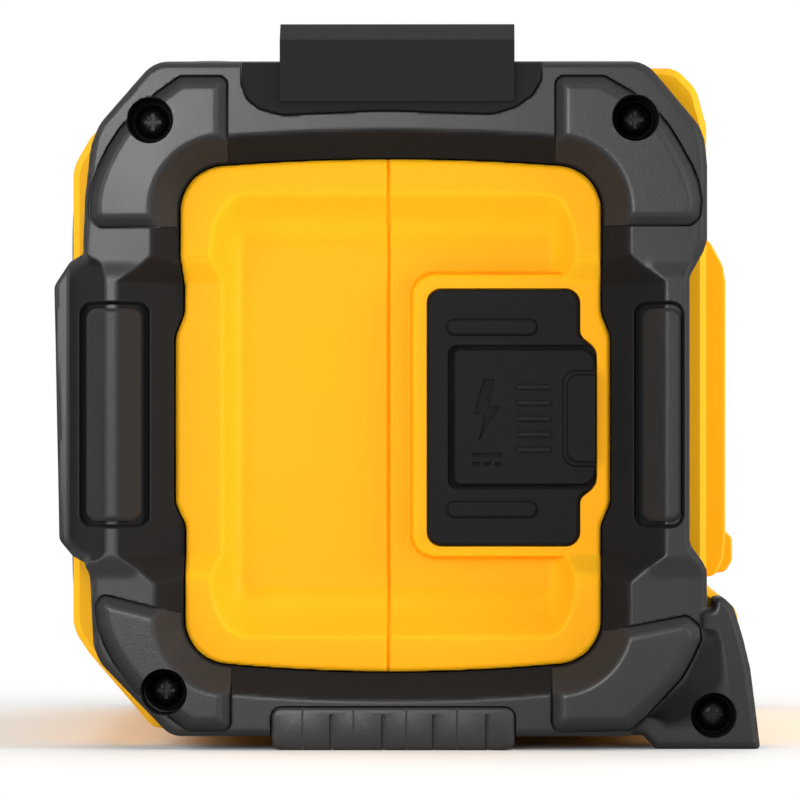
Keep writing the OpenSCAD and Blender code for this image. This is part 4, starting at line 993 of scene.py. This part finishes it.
def stroke(points, width):
    """Outline of a narrow line through points."""
    p = array(points)
    ahead = np.gradient(p, axis=0)
    ahead /= np.linalg.norm(ahead, axis=1, keepdims=True)
    side = np.stack([-ahead[:, 1], ahead[:, 0]], 1) * width / 2
    return np.concatenate([p + side, (p - side)[::-1]])


def arc(r, a0, a1, count=20):
    t = np.radians(np.linspace(a0, a1, count))
    return np.stack([r * np.cos(t), r * np.sin(t)], 1)


WAVES = ((1.2, 60), (2.4, 50), (3.6, 42))
MINUS = [(-2.6, -0.45), (2.6, -0.45), (2.6, 0.45), (-2.6, 0.45)]
PLUS = [(-2.6, -0.45), (-0.45, -0.45), (-0.45, -2.6), (0.45, -2.6), (0.45, -0.45), (2.6, -0.45), (2.6, 0.45),
        (0.45, 0.45), (0.45, 2.6), (-0.45, 2.6), (-0.45, 0.45), (-2.6, 0.45)]
SYMBOLS = {
    "power_button": [stroke(arc(2.4, 120, 420), 0.7), stroke([(0, 0.4), (0, 1.6), (0, 3.0)], 0.7)],
    "pair_button": [stroke(arc(r, -angle, angle), 0.6) for r, angle in WAVES],
    "previous_button": [[(2.4, 2), (2.4, -2), (-1.2, 0)], [(-2.2, 2), (-1.5, 2), (-1.5, -2), (-2.2, -2)]],
    "play_button": [[(-2.6, 2.2), (-2.6, -2.2), (0.8, 0)], [(1.4, 2.2), (2.0, 2.2), (2.0, -2.2), (1.4, -2.2)],
                    [(2.6, 2.2), (3.2, 2.2), (3.2, -2.2), (2.6, -2.2)]],
    "next_button": [[(-2.4, 2), (-2.4, -2), (1.2, 0)], [(2.2, 2), (1.5, 2), (1.5, -2), (2.2, -2)]],
    "volume_down_button": [MINUS],
    "volume_up_button": [PLUS],
}
BUTTON_PROFILE = [(7.55, 0), (7.6, 1.4), (6.5, 1.5), (6.5, 4.0), (6.35, 4.7), (5.9, 5.2), (5.2, 5.38),
                  (3.4, 5.15), (1.4, 5.08)]
PROFILE_TOP = 5.4
MARK_DEPTH, MARK_RISE = 0.55, 0.02
for name, marks in SYMBOLS.items():
    low, high = node_box(name)
    x, u, top = (low[0] + high[0]) / 2, (low[1] + high[1]) / 2 - PANEL_Y, high[2]
    scale = (top - low[2]) / PROFILE_TOP
    profile = [(r, h * scale) for r, h in BUTTON_PROFILE]
    button = turned(name + "_piece", profile, (x, u, low[2]), (0, 0, 1), 48)
    finished(button, BUTTON, body=name, slot="button_rubber", nodes=[name])

    def place(a, b, t):
        return x + a, u + b, top - MARK_DEPTH + MARK_DEPTH * t + MARK_RISE

    solids = [flat_solid("mark", mark, place) for mark in marks]
    finished(joined(name + "_mark", solids), MARK, body=name, slot="button_rubber")

# Front grille: a sheet with holes in staggered rows

DRIVER_XS = (50, -50)
DRIVER_Z = 84
DRIVER_OPENING = 35.2
# Depth range of the mask behind the sheet, and its distance from the sheet's edge
MASK_FRONT, MASK_BACK, MASK_INSET = -74.4, -73.0, 3
PITCH, HOLE_R, HOLE_SIDES = 3.7, 1.32, 10
ROW = PITCH * 0.866
low, high = node_box("grille")
size, middle = high - low, (low + high) / 2


def front(outline, y0, y1, name):
    """Solid from an outline in (x, z) between two depths in the frame's Y."""
    return flat_solid(name, outline, lambda a, b, t: (a, y1 - PANEL_Y + (y0 - y1) * t, b))


sheet = front(box(low[0], high[0], low[2], high[2], 9), low[1], high[1], "grille_piece")
holes = []
rows = int((size[2] / 2 - 4.2) / ROW)
columns = int((size[0] / 2 - 4.6) / PITCH)
for row in range(-rows, rows + 1):
    for column in range(-columns, columns + (row % 2 == 0)):
        x = middle[0] + (column + (0.5 if row % 2 else 0.0)) * PITCH
        hole = circle(x, middle[2] + row * ROW, HOLE_R, HOLE_SIDES)
        holes.append(front(hole, low[1] - 1, high[1] + 1, "hole"))
carve(sheet, joined("holes", holes))
finished(sheet, GRILLE, slot="grille_steel", nodes=["grille"])
low, high = low + MASK_INSET, high - MASK_INSET
mask = front(box(low[0], high[0], low[2], high[2], 7), MASK_FRONT, MASK_BACK, "mask")
for x in DRIVER_XS:
    carve(mask, front(circle(x, DRIVER_Z, DRIVER_OPENING, 72), -80, -60, "hole"))
whole = joined("grille_frame_piece", [softened("frame", "grille_frame", 0.9), mask])
finished(whole, BLACK, slot="black_plastic", nodes=["grille_frame"], flat=True)

# Battery door, with ribs and a nub along its lower edge

def swung(name, rings):
    """Solid through rings, each an outline in (x, z) and its depth u."""
    obj = loft(name, rings)
    for v in obj.data.vertices:
        along, depth = v.co.x, v.co.y - PANEL_Y * MM
        v.co.x, v.co.y = depth, along + PANEL_Y * MM
    obj.data.flip_normals()
    return obj


DOOR_RIBS, FIRST_RIB, RIB_PITCH = 7, 22, 5.2
NUB = rounded([(79, 40.3), (82.4, 40.8), (84.1, 43.6), (84.0, 49.2), (82.0, 51.4), (79, 52.6)],
              [0.5, 2, 2.4, 1.8, 1.6, 0.5])
NUB_ENDS = ((0, 0.8), (0.3, 0.25), (1, 0))
door = softened("door_body", "battery_door", 0.7)
extras = []
low = node_box("battery_door")[0]
for k in range(DOOR_RIBS):
    plan = box_at(0, low[2] + FIRST_RIB + RIB_PITCH * k, 34, 1.0, 0.95)
    rings = [(plan, 79.0), (plan, 80.0), (grown(plan, -0.2), 80.3), (grown(plan, -0.55), 80.45)]
    extras.append(swung("rib", rings))
extras.append(bar("nub", NUB, -50, 50, NUB_ENDS))
whole = joined("battery_door_piece", [door] + extras)
finished(whole, YELLOW, body="battery_door", slot="yellow_plastic", nodes=["battery_door"], flat=True)

# Driver surrounds: a fixed half roll, and a glued lip that moves with the cone

turn = np.radians(np.linspace(13, 180, 20))
back = np.radians(np.linspace(180, 8, 16))
ROLL_R = 31.72
ROLL = [(34.65, 0), (34.65, 0.55), (34.45, 0.75)]
ROLL += [(ROLL_R + 2.4 * math.cos(t), 3.3 * math.sin(t)) for t in turn]
ROLL += [(ROLL_R + 1.75 * math.cos(t), 2.6 * math.sin(t)) for t in back] + [(33.5, 0)]
LIP = [(29.0, 0), (29.0, 0.45), (28.8, 0.65), (28.5, 0.7), (28.0, 0.7), (27.7, 0.65), (27.5, 0.45), (27.5, 0)]
for end, x in zip(("right", "left"), DRIVER_XS):
    middle = (x, -72.5 - PANEL_Y, DRIVER_Z)
    roll = turned("surround_" + end + "_piece", ROLL, middle, (0, -1, 0), 72, closed=True)
    finished(roll, SURROUND, slot="surround_rubber", nodes=["surround_" + end])
    lip = turned("surround_" + end + "_lip", LIP, middle, (0, -1, 0), 72, closed=True)
    finished(lip, SURROUND, body="cone_" + end, slot="surround_rubber")

# Battery: rounded, with finger grooves on the face behind the door

battery = softened("battery_pack_piece", "battery_pack", 0.9)
low, high = node_box("battery_pack")
rear, middle = high[1] - PANEL_Y, (low[2] + high[2]) / 2
for x in (-30.5, 12.5):
    for z in np.arange(-12, 12.1, 4.8):
        cut(battery, box(rear - 1.0, rear + 5, middle + z - 1.1, middle + z + 1.1), x, x + 18)
# Shallow recess between the two sets of grooves
cut(battery, box(rear - 0.6, rear + 5, middle - 17, middle + 17), -9, 9)
merge_flats(battery.data)
finished(battery, BATTERY, slot="battery_plastic", nodes=["battery_pack"], flat=True)

# CAD nodes that keep their shape

KEPT = {
    "handle_screws": STEEL, "keypad_board": BOARD, "status_lens": LENS, "housing_screws": SCREW,
    "driver_screws": STEEL, "main_board": BOARD, "bluetooth_module": BRIGHT, "heatsink": SINK,
    "board_screws": STEEL, "usb_socket": BRIGHT, "usb_board": BOARD, "battery_terminals": BATTERY,
    "hinge_pin": STEEL,
}
DRIVER_PARTS = {"basket": BASKET, "magnet": MAGNET, "cone": CONE, "dust_cap": CONE, "voice_coil": COPPER,
                "spider": SPIDER}
for part, material in DRIVER_PARTS.items():
    KEPT.update({part + "_right": material, part + "_left": material})
for name, material in KEPT.items():
    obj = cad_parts[name]
    obj.data.materials.clear()
    obj.data.materials.append(material)
    weld = obj.modifiers.new("weld", "WELD")
    weld.merge_threshold = WELD
    edges = obj.modifiers.new("edges", "BEVEL")
    edges.width = 0.3 * MM
    edges.segments = 2
    edges.limit_method = "ANGLE"
    edges.angle_limit = math.radians(40)

# Floor, light and background

SEEN = ("Is Camera Ray", "Is Glossy Ray", "Is Transmission Ray")
FLOOR_HALF = 3000


def any_of(tree, names):
    """Socket that is 1 for a ray of any of the named kinds."""
    path = add(tree, "LightPath")
    last = path.outputs[names[0]]
    for name in names[1:]:
        last = add(tree, "Math", {0: last, 1: path.outputs[name]}, operation="MAXIMUM").outputs["Value"]
    return last


def stage_material(name, colour):
    """Matt floor, which runs into the white background far from the object."""
    mat, tree, shader = new_material(name)
    shader.inputs["Roughness"].default_value = 0.9
    shader.inputs["Specular IOR Level"].default_value = 0.1
    spot = add(tree, "TexCoord").outputs["Object"]
    noise = add(tree, "TexNoise", {"Vector": spot, "Scale": 6}).outputs["Fac"]
    plug(tree, ramp(tree, noise, (0, scaled(colour, 0.985)), (1, colour)), shader.inputs["Base Color"])
    far = add(tree, "VectorMath", {0: spot}, operation="LENGTH").outputs["Value"]
    reach = {"Value": far, "From Min": 0.1, "From Max": 0.36}
    fade = add(tree, "MapRange", reach, interpolation_type="SMOOTHSTEP").outputs["Result"]
    share = add(tree, "Math", {0: fade, 1: any_of(tree, SEEN)}, operation="MULTIPLY").outputs["Value"]
    glow = add(tree, "Emission", {"Color": FULL}).outputs["Emission"]
    mix = add(tree, "MixShader", {"Fac": share, 1: shader.outputs["BSDF"], 2: glow})
    plug(tree, mix.outputs["Shader"], tree.nodes["Material Output"].inputs["Surface"])
    return mat


corners = [(x * FLOOR_HALF, u * FLOOR_HALF, 0) for x, u in ((-1, -1), (1, -1), (1, 1), (-1, 1))]
floor = build("floor", corners, [(0, 1, 2, 3)])
floor.data.materials.append(stage_material("floor", (0.93, 0.93, 0.92, 1)))

world = bpy.data.worlds.new("world")
bpy.context.scene.world = world
world.use_nodes = True
tree = world.node_tree
sky = tree.nodes["Background"]
sky.inputs["Color"].default_value = FULL
sky.inputs["Strength"].default_value = 0.1
white = add(tree, "Background", {"Color": FULL, "Strength": 1.0})
shaders = {"Fac": any_of(tree, SEEN), 1: sky.outputs["Background"], 2: white.outputs["Background"]}
mix = add(tree, "MixShader", shaders)
plug(tree, mix.outputs["Shader"], tree.nodes["World Output"].inputs["Surface"])


def lamp(name, place, target, size, power):
    """Soft area lamp, turned to a target. Places are in metres."""
    data = bpy.data.lights.new(name, "AREA")
    data.shape = "RECTANGLE"
    data.size, data.size_y = size
    data.energy = power
    obj = placed(name, data)
    obj.visible_camera = False
    obj.location = place
    obj.rotation_euler = (Vector(target) - Vector(place)).to_track_quat("-Z", "Y").to_euler()


lamp("key", (0.80, -0.125, 0.185), (0.12, -0.01, 0.09), (0.19, 0.23), 1.65)
lamp("top_front", (0.65, -0.15, 0.95), (0.1, 0, 0.08), (0.4, 0.4), 0.7)
lamp("left_fill", (0.75, -0.75, 0.35), (0.1, 0, 0.08), (0.4, 0.4), 2.6)
lamp("right_fill", (1.2, 0.6, 0.25), (0.1, 0.06, 0.08), (0.4, 0.4), 1.6)
lamp("side_fill", (0.5, 1.1, 0.4), (0.05, 0.08, 0.08), (0.5, 0.5), 7.0)
lamp("top", (0.0, 0.0, 1.5), (0, 0, 0), (1.2, 1.2), 7.0)
lamp("front_fill", (-0.3, -1.2, 0.7), (0, 0, 0.08), (0.9, 0.9), 6.5)
lamp("rear_fill", (0.1, 1.2, 0.8), (0, 0, 0.08), (0.9, 0.9), 5.0)
lamp("far_fill", (-1.2, 0.2, 0.8), (0, 0, 0.08), (0.9, 0.9), 8.0)

bpy.context.scene.view_settings.view_transform = "Standard"
